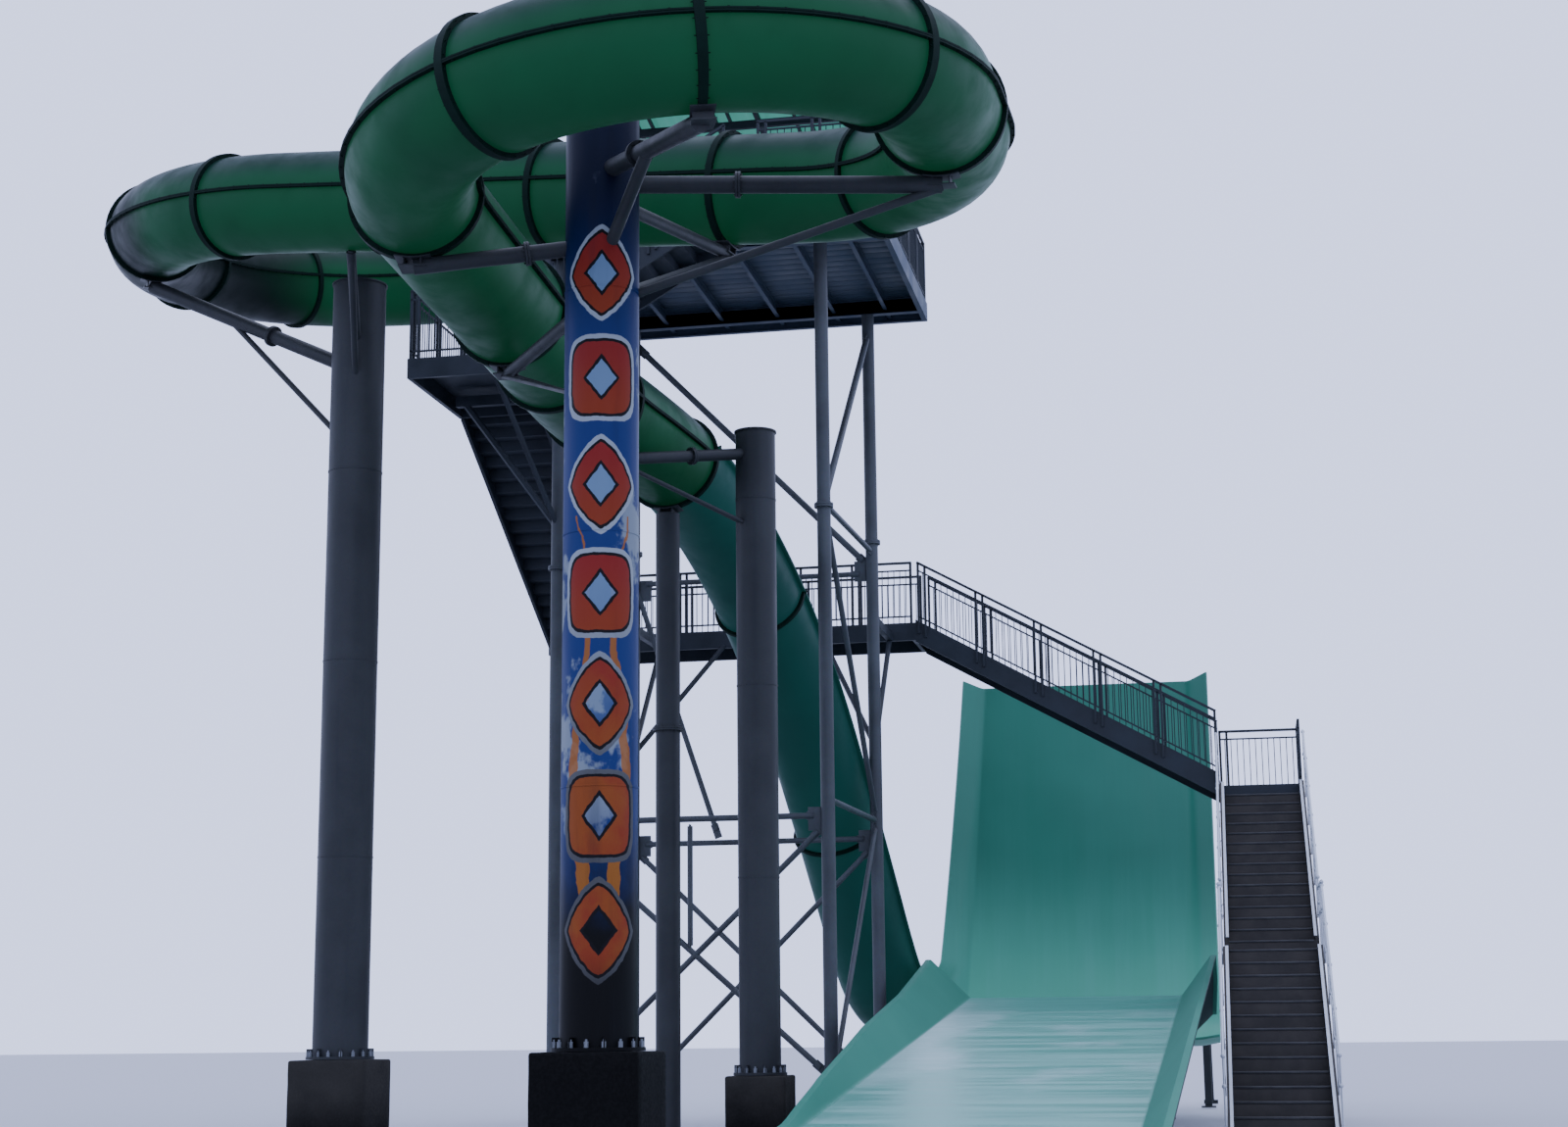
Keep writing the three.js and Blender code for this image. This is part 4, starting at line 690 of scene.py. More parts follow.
TUB_LENGTH, TUB_BAYS = 2.3, 10
DECK_TOP = 15.2
bay = TUB_LENGTH / TUB_BAYS
skin = thicken(row(trough(0, bay, TUBE), TUB_BAYS, (bay, 0, 0)), WALL_THICKNESS)
end_plate = rod((TUB_LENGTH - 0.035, 0, 0), (TUB_LENGTH - 0.001, 0, 0), TUBE - 0.012, 64)
for vert in end_plate.data.vertices:
    vert.co.z = min(vert.co.z, RIM_RISE - 0.002)
CRADLE_HALF, CRADLE_ARM = 0.42, 0.08
cradles = []
tub_foot = DECK_TOP - centre_line[0].z + 0.002
for x in (0.55, TUB_LENGTH - 0.35):
    cradles.append(block((x - 0.05, -CRADLE_HALF, tub_foot), (x + 0.05, CRADLE_HALF, -TUBE - 0.005), 0.004))
    for y in (-CRADLE_HALF, CRADLE_HALF - CRADLE_ARM):
        cradles.append(block((x - 0.05, y, -TUBE - 0.01), (x + 0.05, y + CRADLE_ARM, -TUBE + 0.085), 0.004))
tub = paint(join([skin, end_plate, *cradles]), chute_green)
tub.location = centre_line[0]
mount(settle(tub), "start_tub_skin", "chute_fibreglass", "start_tub")


# Each column carries the tube on steel pipe arms welded to its side. An arm ends in a curved saddle
# plate that is bolted under a flange of the tube, and slimmer pipes brace it from below.
ARM_END = 0.9
SADDLE_LENGTH = 0.26
SADDLE_EDGE = -0.78
PLATE = 0.016
COUPLING_FACES = ((-0.03, -0.003), (0.003, 0.03))
STOUT = 0.08


def under(distance, drop=ARM_END, aside=0.0):
    """Point square below the tube."""
    return square_to(distance, aside, -drop)


def saddle(distance):
    """Curved plate under a flange joint, with two webs down to a flat foot."""
    at = along(distance)
    low, high = at - SADDLE_LENGTH / 2, at + SADDLE_LENGTH / 2
    plate = rod((low, 0, 0), (high, 0, 0), FLANGE + 0.018, 72, closed=False)
    trim_above(plate, SADDLE_EDGE)
    bpy.ops.object.mode_set(mode="OBJECT")
    thicken(plate, PLATE)
    webs = [
        block((low + 0.02, y - PLATE / 2, -FLANGE - 0.1), (high - 0.02, y + PLATE / 2, -FLANGE - 0.005))
        for y in (-0.1, 0.1)
    ]
    foot = block((low, -0.16, -FLANGE - 0.115), (high, 0.16, -FLANGE - 0.098))
    return bend(join([plate, *webs, foot]), slide_guide)


def coupling(start, end, radius):
    """A bolted pair of flanges on a stout pipe, a little short of its middle."""
    start, end = Vector(start), Vector(end)
    middle, axis = start.lerp(end, 0.4), (end - start).normalized()
    discs = [rod(middle + axis * a, middle + axis * b, radius * 1.5, 24) for a, b in COUPLING_FACES]
    return [*discs, bolt_ring(middle, axis, radius * 1.25, 8, 0.018, 0.1)]


def brackets(name, node, arms, joints):
    """The arms of one column: pipes by start, end and radius, with a saddle at each joint."""
    parts = [rod(start, end, radius, 24) for start, end, radius in arms]
    for start, end, radius in arms:
        if radius > STOUT:
            parts += coupling(start, end, radius)
    parts += [saddle(joint) for joint in joints]
    assemble(parts, steel, name, "galvanised_steel", node)


def on_main(height):
    return Vector((0, 0, height))


LOOP, LOOP_END, CROSSING, RIGHT = 11.8, 17.1, 23.2, 29.1
FRONT, RETURN, BELLY, CHUTE_ARM = 33.68, 39.0, 42.7, 46.6
front_reach = under(FRONT)
brackets("main_column_arms", "main_column_brackets", [
    (on_main(11.65), front_reach, 0.105),
    (on_main(10.5), on_main(11.65).lerp(front_reach, 0.5), 0.075),
    (on_main(11.5), under(RIGHT), 0.105),
    (on_main(10.0), under(RIGHT, 0.93), 0.05),
    (on_main(11.35), under(CROSSING), 0.08),
    (on_main(10.05), under(CROSSING, 0.92, 0.15), 0.07),
    (on_main(10.75), under(RETURN), 0.095),
    (on_main(10.15), under(BELLY), 0.08),
    ((-0.15, 0, 8.9), under(BELLY, 0.92, 0.06), 0.03),
    ((-0.15, 0.12, 8.9), under(BELLY, 0.92, -0.08), 0.03),
], (FRONT, RIGHT, CROSSING, RETURN, BELLY))

LEFT = FOOTINGS["left_column"]["centre"]
loop_reach = under(LOOP)
brackets("left_column_arms", "left_column_brackets", [
    ((*LEFT, 11.6), loop_reach, 0.11),
    ((*LEFT, 10.3), Vector((*LEFT, 11.6)).lerp(loop_reach, 0.62), 0.045),
    ((*LEFT, 10.95), under(LOOP_END, 0.76), 0.05),
    ((*LEFT, 11.7), under(LOOP_END, 0.78), 0.07),
], (LOOP,))

chute_x, chute_y = FOOTINGS["chute_column"]["centre"]
chute_reach = under(CHUTE_ARM)
brackets("chute_column_pipes", "chute_column_arm", [((chute_x, chute_y, 10.45), chute_reach, 0.09)] + [
    ((chute_x, y, 9.25), Vector((chute_x, y, 10.45)).lerp(chute_reach, 0.88), 0.032)
    for y in (chute_y + 0.09, chute_y - 0.09)
], (CHUTE_ARM,))

POST_RADIUS = 0.19
POST_JOINT = 6.26
POST_PLATE, POST_FLANGE = 0.13, 0.05
post_top = under(CHUTE_JOINTS[0], 0.92)
post = post_top.xy
post_parts = [
    rod((*post, 0.01), (*post, post_top.z + 0.03), POST_RADIUS, 40),
    ring(post, POST_RADIUS, POST_PLATE, 0.0, 0.04),
    ring(post, POST_RADIUS, POST_FLANGE, POST_JOINT - 0.03, POST_JOINT - 0.002),
    ring(post, POST_RADIUS, POST_FLANGE, POST_JOINT + 0.002, POST_JOINT + 0.03),
    bolt_ring((*post, POST_JOINT), UPWARD, POST_RADIUS + 0.025, 12, 0.016, 0.1),
    bolt_ring((*post, 0.06), UPWARD, POST_RADIUS + 0.08, 8, 0.024, 0.09),
    saddle(CHUTE_JOINTS[0]),
]
assemble(post_parts, steel, "chute_post_pipe", "galvanised_steel", "chute_post")


# The start tower stands on four long steel pipes that are bolted together at flanges, and pipe
# braces run between them to gusset plates on the legs.
LEG = 0.115
LEG_TOP = 14.85
LEG_PLATE, LEG_FLANGE = 0.11, 0.045
SIDE_LOW, SIDE_MIDDLE, SIDE_HIGH = 5.35, 10.3, 14.5
# A lighter copy of the galvanised steel: painted light on the tower's pipes.
lit_pipe_steel = galvanised("lit_pipe_steel", shade(58, 61, 64), shade(76, 80, 84), shade(46, 50, 56))
FRONT_RIGHT, BACK_RIGHT, FRONT_LEFT, BACK_LEFT = (0.46, 12.2), (0.59, 16.5), (-4.15, 12.2), (-3.94, 16.5)


def bar(start, end, width, depth):
    """A rectangular bar between two points, its width level."""
    start, end = Vector(start), Vector(end)
    clear()
    bpy.ops.mesh.primitive_cube_add(
        size=1, location=(start + end) / 2, scale=(width, depth, (end - start).length),
        rotation=(end - start).to_track_quat("Z", "Y").to_euler(),
    )
    return settle(bpy.context.object)


def brace(start, end, radius, gap=0.24):
    """A pipe brace with a plate at each end, bolted to the gusset on a leg."""
    start, end = Vector(start), Vector(end)
    reach = (end - start).normalized()
    parts = [rod(start + reach * gap, end - reach * gap, radius, 16)]
    for foot, way in ((start, reach), (end, -reach)):
        parts.append(bar(foot + way * 0.09, foot + way * (gap + 0.12), PLATE, radius * 2.7))
    return parts


def leg(place, collar):
    """One leg with its base plate, and the bolted flanges where its two lengths meet."""
    return [
        rod((*place, 0.01), (*place, LEG_TOP), LEG, 28),
        ring(place, LEG, LEG_PLATE, 0.0, 0.035),
        ring(place, LEG, LEG_FLANGE, collar - 0.034, collar - 0.003),
        ring(place, LEG, LEG_FLANGE, collar + 0.003, collar + 0.034),
        bolt_ring((*place, collar), UPWARD, LEG + 0.026, 10, 0.015, 0.11),
        bolt_ring((*place, 0.05), UPWARD, LEG + 0.07, 6, 0.022, 0.08),
    ]


for side, front, back, front_collar, back_collar in (
    ("right", FRONT_RIGHT, BACK_RIGHT, 10.25, 10.48), ("left", FRONT_LEFT, BACK_LEFT, 9.4, 10.48),
):
    parts = leg(front, front_collar) + leg(back, back_collar)
    for first, low, last, high, radius in (
        (front, SIDE_LOW, back, SIDE_LOW, 0.05),
        (front, SIDE_MIDDLE, back, SIDE_MIDDLE, 0.05),
        (front, 0.7, back, SIDE_LOW, 0.045),
        (back, SIDE_LOW, front, SIDE_MIDDLE, 0.05),
        (front, SIDE_MIDDLE, back, SIDE_HIGH, 0.06),
    ):
        parts += brace((*first, low), (*last, high), radius)
    assemble(parts, lit_pipe_steel, f"tower_legs_{side}", "galvanised_steel", f"tower_side_{side}")

FRONT_TIE = 5.08
BACK_TIE, BACK_MIDDLE = 5.03, 9.9
HANGER, BACK_KNEE = (-1.85, 12.2), (-2.3, 16.5)
GUSSET_REACH, GUSSET_HALF, GUSSET_RISE = 0.33, 0.012, 0.19


def gusset(place, height):
    """Plate on a leg's inner side, in the plane of the bracing."""
    x, y = place
    way = 1 if x < 0 else -1
    low_x, high_x = sorted((x + way * LEG, x + way * GUSSET_REACH))
    low = (low_x, y - GUSSET_HALF, height - GUSSET_RISE)
    high = (high_x, y + GUSSET_HALF, height + GUSSET_RISE)
    return block(low, high, 0.004)


for name, node, braces, gussets in (
    ("tower_front_braces", "tower_bracing_front", (
        (FRONT_LEFT, FRONT_TIE, FRONT_RIGHT, FRONT_TIE, 0.05),
        (FRONT_LEFT, 0.6, FRONT_RIGHT, FRONT_TIE - 0.1, 0.05),
        (FRONT_LEFT, FRONT_TIE - 0.1, FRONT_RIGHT, 0.9, 0.05),
        (HANGER, FRONT_TIE, HANGER, 2.9, 0.045),
    ), ((FRONT_LEFT, FRONT_TIE - 0.05), (FRONT_RIGHT, FRONT_TIE - 0.05))),
    ("tower_back_braces", "tower_bracing_back", (
        (BACK_LEFT, 14.6, BACK_RIGHT, BACK_MIDDLE + 0.08, 0.06),
        (BACK_LEFT, BACK_MIDDLE, BACK_RIGHT, BACK_MIDDLE, 0.05),
        (BACK_LEFT, BACK_MIDDLE + 0.05, BACK_KNEE, BACK_TIE, 0.05),
        (BACK_LEFT, BACK_TIE, BACK_RIGHT, BACK_TIE, 0.05),
        (BACK_LEFT, 0.5, BACK_RIGHT, BACK_TIE - 0.07, 0.05),
        (BACK_LEFT, BACK_TIE - 0.07, BACK_RIGHT, 0.6, 0.05),
    ), ((BACK_LEFT, 5.0), (BACK_RIGHT, 5.0), (BACK_LEFT, 9.76), (BACK_RIGHT, 9.95))),
):
    parts = [gusset(place, height) for place, height in gussets]
    for first, low, last, high, radius in braces:
        parts += brace((*first, low), (*last, high), radius, 0.12 if first == last else 0.24)
    assemble(parts, lit_pipe_steel, name, "galvanised_steel", node)


# The platform's deck is of planks on channel joists and two deep beams over the legs, inside a
# frame of edge channels. All its steel is painted dark, drawn in a lighter copy of that paint: painted
# light on its underside.
DECK_DEPTH = 0.35
DECK_LEFT, DECK_RIGHT, DECK_FRONT, DECK_BACK = -4.4, 1.65, 11.76, 17.1
BAY_LEFT, BAY_FRONT = -0.7, 10.3
PLANK_PITCH, PLANK_WIDTH, PLANK_GAP = 0.29, 0.278, 0.02
JOIST_LEVEL, JOIST_DEPTH, BEAM_LEVEL, BEAM_DEPTH = 15.04, 0.2, 15.0, 0.29
STEEL = 0.012
CHANNEL_LIP, EDGE_LIP = 0.07, 0.09


def painted(name, deep, lit):
    """Steel under weathered matt paint, in patches of two tones."""
    made = Finish(name, specular_ior_level=0.25)
    patches = made.noise(1.4, 6)
    made.set(
        base_color=made.mix(made.between(patches, 0.3, 0.7), deep, lit),
        roughness=made.between(patches, 0.3, 0.7, 0.45, 0.7),
    )
    made.bump(made.noise(50, 3), 0.0008)
    return made


dark_steel = painted("dark_steel", shade(28, 33, 39), shade(42, 47, 54))
# A lighter copy of the dark steel: painted light on the deck seen from below.
lit_deck_steel = painted("lit_deck_steel", shade(50, 60, 72), shade(62, 73, 88))


def channel(start, end, depth, lip, inward):
    """A steel channel on edge between two points, with its flanges turned inward."""
    start, end, inward = Vector(start), Vector(end), Vector(inward)
    parts = [bar(start, end, STEEL, depth)]
    for lift in (depth / 2 - STEEL / 2, STEEL / 2 - depth / 2):
        move = inward * (lip / 2) + Vector((0, 0, lift))
        parts.append(bar(start + move, end + move, lip, STEEL))
    return parts


parts = []
edge = STEEL / 2
middle = DECK_TOP - DECK_DEPTH / 2
for start, end, inward in (
    ((DECK_LEFT + edge, DECK_FRONT), (DECK_LEFT + edge, DECK_BACK), (1, 0, 0)),
    ((DECK_LEFT, DECK_BACK - edge), (DECK_RIGHT, DECK_BACK - edge), (0, -1, 0)),
    ((DECK_RIGHT - edge, BAY_FRONT), (DECK_RIGHT - edge, DECK_BACK), (-1, 0, 0)),
    ((BAY_LEFT, BAY_FRONT + edge), (DECK_RIGHT, BAY_FRONT + edge), (0, 1, 0)),
    ((BAY_LEFT + edge, BAY_FRONT), (BAY_LEFT + edge, DECK_FRONT), (1, 0, 0)),
    ((DECK_LEFT, DECK_FRONT + edge), (BAY_LEFT, DECK_FRONT + edge), (0, 1, 0)),
):
    parts += channel((*start, middle), (*end, middle), DECK_DEPTH, EDGE_LIP, inward)
for x in (-3.32, -2.24, -1.16, -0.08, 0.9):
    start = (x, BAY_FRONT if x > BAY_LEFT else DECK_FRONT, JOIST_LEVEL)
    parts += channel(start, (x, DECK_BACK, JOIST_LEVEL), JOIST_DEPTH, CHANNEL_LIP, (1, 0, 0))
for y in (FRONT_LEFT[1], BACK_LEFT[1]):
    start, end = (DECK_LEFT, y, BEAM_LEVEL), (DECK_RIGHT, y, BEAM_LEVEL)
    for side in (-1, 1):
        parts += channel(start, end, BEAM_DEPTH, CHANNEL_LIP, (0, side, 0))
for left, front, count in ((BAY_LEFT, BAY_FRONT, 5), (DECK_LEFT, DECK_FRONT, 18)):
    low = (left + PLANK_GAP, front + PLANK_GAP, DECK_TOP - 0.045)
    high = (DECK_RIGHT - PLANK_GAP, front + PLANK_GAP + PLANK_WIDTH, DECK_TOP - 0.003)
    parts.append(row(block(low, high, 0.004), count, (0, PLANK_PITCH, 0)))
assemble(parts, lit_deck_steel, "deck_framing", "dark_steel", "platform_deck")


# The platform's roof is of mint translucent sheets, pressed in waves, that are screwed down to
# purlins. Light rafters in pairs run up to the ridge below them.
ROOF_LEFT, ROOF_RIGHT = -4.1, 2.45
ROOF_FRONT, ROOF_MIDDLE, ROOF_BACK = 9.24, 12.95, 16.66
RIDGE = 18.89
ROOF_SLOPE = 0.55 / 3.65
WAVES = 34
WAVE_DEPTH = 0.009
SHEET, SHEET_LIFT = 0.003, 0.0125
RAFTER_WIDTH, RAFTER_DEPTH, RAFTER_DROP, RAFTER_GAP, RAFTER_INSET = 0.045, 0.08, 0.045, 0.27, 0.08
roofing = Finish("roof_sheet", roughness=0.35, specular_ior_level=0.2)
# Painted light: the undersides of the sheets glow, as if daylight shone through them.
below = roofing.between(roofing.normal("Z"), 0.2, -0.2)
roofing.set(
    base_color=roofing.mix(roofing.noise(2, 5), shade(40, 104, 90), shade(56, 126, 110)),
    emission_color=roofing.mix(below, (0, 0, 0), shade(70, 150, 136)),
    emission_strength=0.8,
)
sheets = []
wave_pitch = (ROOF_RIGHT - ROOF_LEFT) / WAVES
for eave in (ROOF_FRONT, ROOF_BACK):
    clear()
    bpy.ops.mesh.primitive_grid_add(x_subdivisions=8, y_subdivisions=2, size=1)
    sheet = bpy.context.object
    for vert in sheet.data.vertices:
        run = (eave - ROOF_MIDDLE) * (vert.co.y + 0.5)
        swell = WAVE_DEPTH * math.cos(math.tau * vert.co.x)
        level = RIDGE + SHEET_LIFT + swell - abs(run) * ROOF_SLOPE
        vert.co = (ROOF_LEFT + wave_pitch * (vert.co.x + 0.5), ROOF_MIDDLE + run, level)
    sheets.append(modify(row(sheet, WAVES, (wave_pitch, 0, 0)), "SOLIDIFY", thickness=SHEET, offset=0))
assemble(sheets, roofing, "roof_sheeting", "roof_sheet", "roof_sheets")

rafters = []
for x in (-3.55, -2.05, -0.55, 0.95):
    for eave in (ROOF_FRONT + RAFTER_INSET, ROOF_BACK - RAFTER_INSET):
        for aside in (0, RAFTER_GAP):
            top = Vector((x + aside, ROOF_MIDDLE, RIDGE - RAFTER_DROP))
            foot = Vector((x + aside, eave, top.z - abs(eave - ROOF_MIDDLE) * ROOF_SLOPE))
            rafters.append(bar(foot, top, RAFTER_WIDTH, RAFTER_DEPTH))
assemble(rafters, dark_steel, "roof_rafters", "dark_steel")


# Guard rails stand on the platform, the bridge, the landings and the flights of stairs. Each has
# square posts in pairs, two top rails, a bottom rail and thin round balusters, all welded and dark.
RAIL_HEIGHT = 1.2
POST_PITCH = 1.2
PAIR_GAP = 0.13
BALUSTER_PITCH = 0.115
BALUSTER = 0.009
POST_HALF, RAIL_HALF = 0.022, 0.014
SECOND_RAIL_DROP, BOTTOM_RAIL = 0.17, 0.13
BRIDGE_TOP, LANDING_1_TOP, LANDING_3_TOP = 9.3, 6.0, 12.7


def guard(start, end, foot):
    """One straight panel between two points at floor level. Its posts go on down by foot."""
    start, end = Vector(start), Vector(end)
    run = end - start
    level = Vector((run.x, run.y, 0)).length
    inset = run * (POST_HALF / level)
    second = RAIL_HEIGHT - SECOND_RAIL_DROP
    parts = []
    for rise, half in ((RAIL_HEIGHT - POST_HALF, POST_HALF), (second, RAIL_HALF), (BOTTOM_RAIL, RAIL_HALF)):
        lift = Vector((0, 0, rise))
        parts.append(bar(start + lift, end + lift, half * 2, half * 2))
    bays = max(1, round(level / POST_PITCH))
    step = (run - inset * 2) / bays
    for shift, count in ((inset, bays + 1), (inset + run * (PAIR_GAP / level), bays)):
        post = block((-POST_HALF, -POST_HALF, -foot), (POST_HALF, POST_HALF, RAIL_HEIGHT - 0.03))
        post.location = start + shift
        parts.append(row(settle(post), count, step))
    count = max(2, round(level / BALUSTER_PITCH))
    place = start + run / count
    baluster = rod(place + Vector((0, 0, BOTTOM_RAIL)), place + Vector((0, 0, second)), BALUSTER, 6)
    parts.append(row(baluster, count - 1, run / count))
    return parts


GUARDS = {
    "platform_rail_front": [((-0.25, 10.345, DECK_TOP), (1.61, 10.345, DECK_TOP), 0)],
    "platform_rail_right": [((1.605, 10.375, DECK_TOP), (1.605, 17.025, DECK_TOP), 0)],
    "platform_rail_back": [((-4.38, 17.055, DECK_TOP), (1.63, 17.055, DECK_TOP), 0)],
    "platform_rail_left": [((-4.355, 11.78, DECK_TOP), (-4.355, 14.98, DECK_TOP), 0)],
    "bridge_rail_near": [((-4.7, 18.545, BRIDGE_TOP), (1.04, 18.545, BRIDGE_TOP), 0)],
    "bridge_rail_far": [
        ((-6.18, 19.975, BRIDGE_TOP), (1.04, 19.975, BRIDGE_TOP), 0),
        ((-6.155, 18.58, BRIDGE_TOP), (-6.155, 20, BRIDGE_TOP), 0),
    ],
    "landing_1_rail": [
        ((6.695, 19.975, LANDING_1_TOP), (8.19, 19.975, LANDING_1_TOP), 0),
        ((8.165, 18.56, LANDING_1_TOP), (8.165, 19.995, LANDING_1_TOP), 0),
    ],
    "landing_3_rail": [
        ((-6.2, 10.345, LANDING_3_TOP), (-4.76, 10.345, LANDING_3_TOP), 0),
        ((-6.175, 10.32, LANDING_3_TOP), (-6.175, 12.94, LANDING_3_TOP), 0),
    ],
    "stair_2_rail_near": [((1.15, 18.475, 9.29), (6.68, 18.475, 6.207), 0.2)],
    "stair_2_rail_far": [((1.15, 20.045, 9.29), (6.68, 20.045, 6.207), 0.2)],
    "stair_3_rail_left": [((-6.225, 13.06, 12.69), (-6.225, 18.44, 9.539), 0.2)],
    "stair_3_rail_right": [((-4.655, 13.06, 12.69), (-4.655, 18.44, 9.539), 0.2)],
    "stair_4_rail_near": [((-4.64, 10.215, 12.89), (-0.76, 10.215, 15.142), 0.2)],
}
for node, panels in GUARDS.items():
    parts = [part for panel in panels for part in guard(*panel)]
    assemble(parts, dark_steel, f"{node}_bars", "dark_steel", node)


# The lower flight has bright galvanised handrails: two round pipes on each side on slim posts, with
# ball clamps, over the stringers' pale top flanges. Every tread has a worn, lighter nosing.
RISER = 0.2
TREAD = 0.31
LOWER_STEPS, UPPER_STEPS = 14, 15
LOWER_Y, UPPER_Y = 8.02, 13.85
MID_LEVEL = 2.8
NOSE = 0.06
HANDRAIL_HEIGHT, KNEE_RAIL = 1.06, 0.62
HANDRAIL, KNEE_PIPE, SLIM_POST, BALL = 0.02, 0.015, 0.014, 0.034
SLIM_POST_PITCH = 0.95
pale_steel = Finish("pale_steel", metallic=0.25)
pale_steel.set(
    base_color=pale_steel.mix(pale_steel.noise(3, 5), shade(160, 165, 172), shade(190, 194, 200)),
    roughness=0.4,
)


def handrail(start, end):
    """Two round rails with posts and ball clamps over the line between two points."""
    start, end = Vector(start), Vector(end)
    run = end - start
    parts = []
    for rise, radius in ((HANDRAIL_HEIGHT - 0.024, HANDRAIL), (KNEE_RAIL, KNEE_PIPE)):
        lift = Vector((0, 0, rise))
        parts.append(rod(start + lift, end + lift, radius, 16))
    level = Vector((run.x, run.y, 0)).length
    bays = max(1, round(level / SLIM_POST_PITCH))
    foot = start + run * (HANDRAIL / level)
    step = (run - run * (HANDRAIL * 2 / level)) / bays
    post_top = HANDRAIL_HEIGHT - 0.03
    post = rod(foot - Vector((0, 0, 0.18)), foot + Vector((0, 0, post_top)), SLIM_POST, 12)
    parts.append(row(post, bays + 1, step))
    for rise in (post_top, KNEE_RAIL):
        place = foot + Vector((0, 0, rise - 0.01))
        clear()
        bpy.ops.mesh.primitive_uv_sphere_add(segments=12, ring_count=8, radius=BALL, location=place)
        parts.append(row(settle(bpy.context.object), bays + 1, step))
    return parts


for side, x in (("left", 6.665), ("right", 8.235)):
    parts = handrail((x, 8.08, 0.2), (x, 12.05, 2.764))
    parts += handrail((x, 12.0, 2.8), (x, 13.85, 2.8))
    parts += handrail((x, 13.8, 2.97), (x, 18.38, 5.923))
    assemble(parts, pale_steel, f"handrail_{side}", "pale_rail", f"stair_1_rail_{side}")

CAP_WIDTH, CAP_THICKNESS = 0.046, 0.012
caps = []
for x in (6.747, 8.153):
    for first_y, level, rises in ((LOWER_Y, 0.0, LOWER_STEPS - 1), (UPPER_Y, MID_LEVEL, UPPER_STEPS)):
        low = Vector((x, first_y, level + RISER + NOSE + CAP_THICKNESS / 2))
        high = low + Vector((0, rises * TREAD, rises * RISER))
        caps.append(bar(low, high, CAP_WIDTH, CAP_THICKNESS))
assemble(caps, pale_steel, "stringer_flanges", "pale_rail")

TREAD_LEFT, TREAD_RIGHT = 6.77, 8.13
NOSING_FRONT, NOSING_BACK, NOSING_DROP = 0.012, 0.035, 0.03
nosing = Finish("tread_nosing", metallic=0.2, roughness=0.5)
wear = nosing.between(nosing.noise(4, 5), 0.4, 0.7)
nosing.set(base_color=nosing.mix(wear, shade(30, 31, 33), shade(46, 47, 48)))
strips = []
for first_y, level, count in ((LOWER_Y, 0.0, LOWER_STEPS), (UPPER_Y, MID_LEVEL, UPPER_STEPS)):
    low = (TREAD_LEFT, first_y - NOSING_FRONT, level + RISER - NOSING_DROP)
    high = (TREAD_RIGHT, first_y + NOSING_BACK, level + RISER + 0.004)
    strips.append(row(block(low, high, 0.006), count, (0, TREAD, RISER)))
assemble(strips, nosing, "tread_nosings", "stair_steel")


# The curved wall is a ribbon of teal glass-fibre panels with a leaning strip down each side. It
# dips where the chute comes in at its left, then climbs until it stands almost upright.
WALL_LEFT = 1.32
WALL_FOOT = 0.9
WALL_HORN = 0.1
WALL_RIGHT = 6.45
WALL_ENTRY = -0.62
WALL_FOLD = 0.4
SOFT_FOLD = 0.12
WALL_RISE, ENTRY_RISE = 0.25, 0.06
SHELL = 0.045
WALL_PROFILE = [
    (20.93, 1.44), (21.5, 1.33), (22.25, 1.7), (22.95, 2.9), (23.6, 4.7), (24.2, 6.9), (24.6, 8.85),
]


def smoothstep(value, low, high):
    share = min(max((value - low) / (high - low), 0), 1)
    return share * share * (3 - 2 * share)


def mix(first, second, share):
    return first + (second - first) * share


def spline(corners, steps):
    """A smooth line through points, with the same number of steps between each two."""
    corners = [Vector(corner) for corner in corners]
    ends = [corners[0], *corners, corners[-1]]
    found = []
    for before, here, there, after in zip(ends, ends[1:], ends[2:], ends[3:]):
        leave, arrive = (there - before) / 2, (after - here) / 2
        for i in range(steps):
            t = i / steps
            found.append(
                (2 * here - 2 * there + leave + arrive) * t ** 3
                + (3 * there - 3 * here - 2 * leave - arrive) * t ** 2 + leave * t + here
            )
    return [*found, corners[-1]]


profile = [Vector((0, y, z)) for y, z in spline(WALL_PROFILE, 24)]
wall_guide = guide("wall_guide", profile)
wall_length = sum((b - a).length for a, b in zip(profile, profile[1:]))


def ribbon(share, spread):
    """Place across, lift of the leaning strip and reach of the horn, at a share along and across."""
    narrow = smoothstep(share, 0.12, 0.32)
    climbed = min(max((share - 0.3) / 0.7, 0), 1)
    left = mix(WALL_ENTRY, WALL_FOOT, narrow) + (WALL_LEFT - WALL_FOOT) * climbed
    lift = mix(ENTRY_RISE, WALL_RISE, narrow)
    x = mix(left, WALL_RIGHT, spread)
    edge = min(x - left, WALL_RIGHT - x)
    fold = max(0.0, 1 - edge / WALL_FOLD)
    rounded = fold * fold / (2 * SOFT_FOLD) if fold < SOFT_FOLD else fold - SOFT_FOLD / 2
    lean = rounded / (1 - SOFT_FOLD / 2)
    return x, lift * lean, WALL_HORN * smoothstep(share, 0.85, 1) * lean


clear()
bpy.ops.mesh.primitive_grid_add(x_subdivisions=112, y_subdivisions=64, size=1)
wall = bpy.context.object
for vert in wall.data.vertices:
    share = vert.co.x + 0.5
    x, lift, horn = ribbon(share, 0.5 - vert.co.y)
    vert.co = (share * wall_length + horn, -x, lift)
bend(thicken(wall, SHELL), wall_guide)

teal = Finish("wall_fibreglass", specular_ior_level=0.3)
high = teal.axis("Z")
soft_cloud = teal.noise(0.35, 3)
falls = teal.noise(1.6, 3, stretch=(1, 0.08, 0.08))
thin_falls = teal.noise(9, 3, stretch=(1, 0.05, 0.05))
strip = teal.between(teal.axis("X") - high * 0.047, 1.37, 1.3)
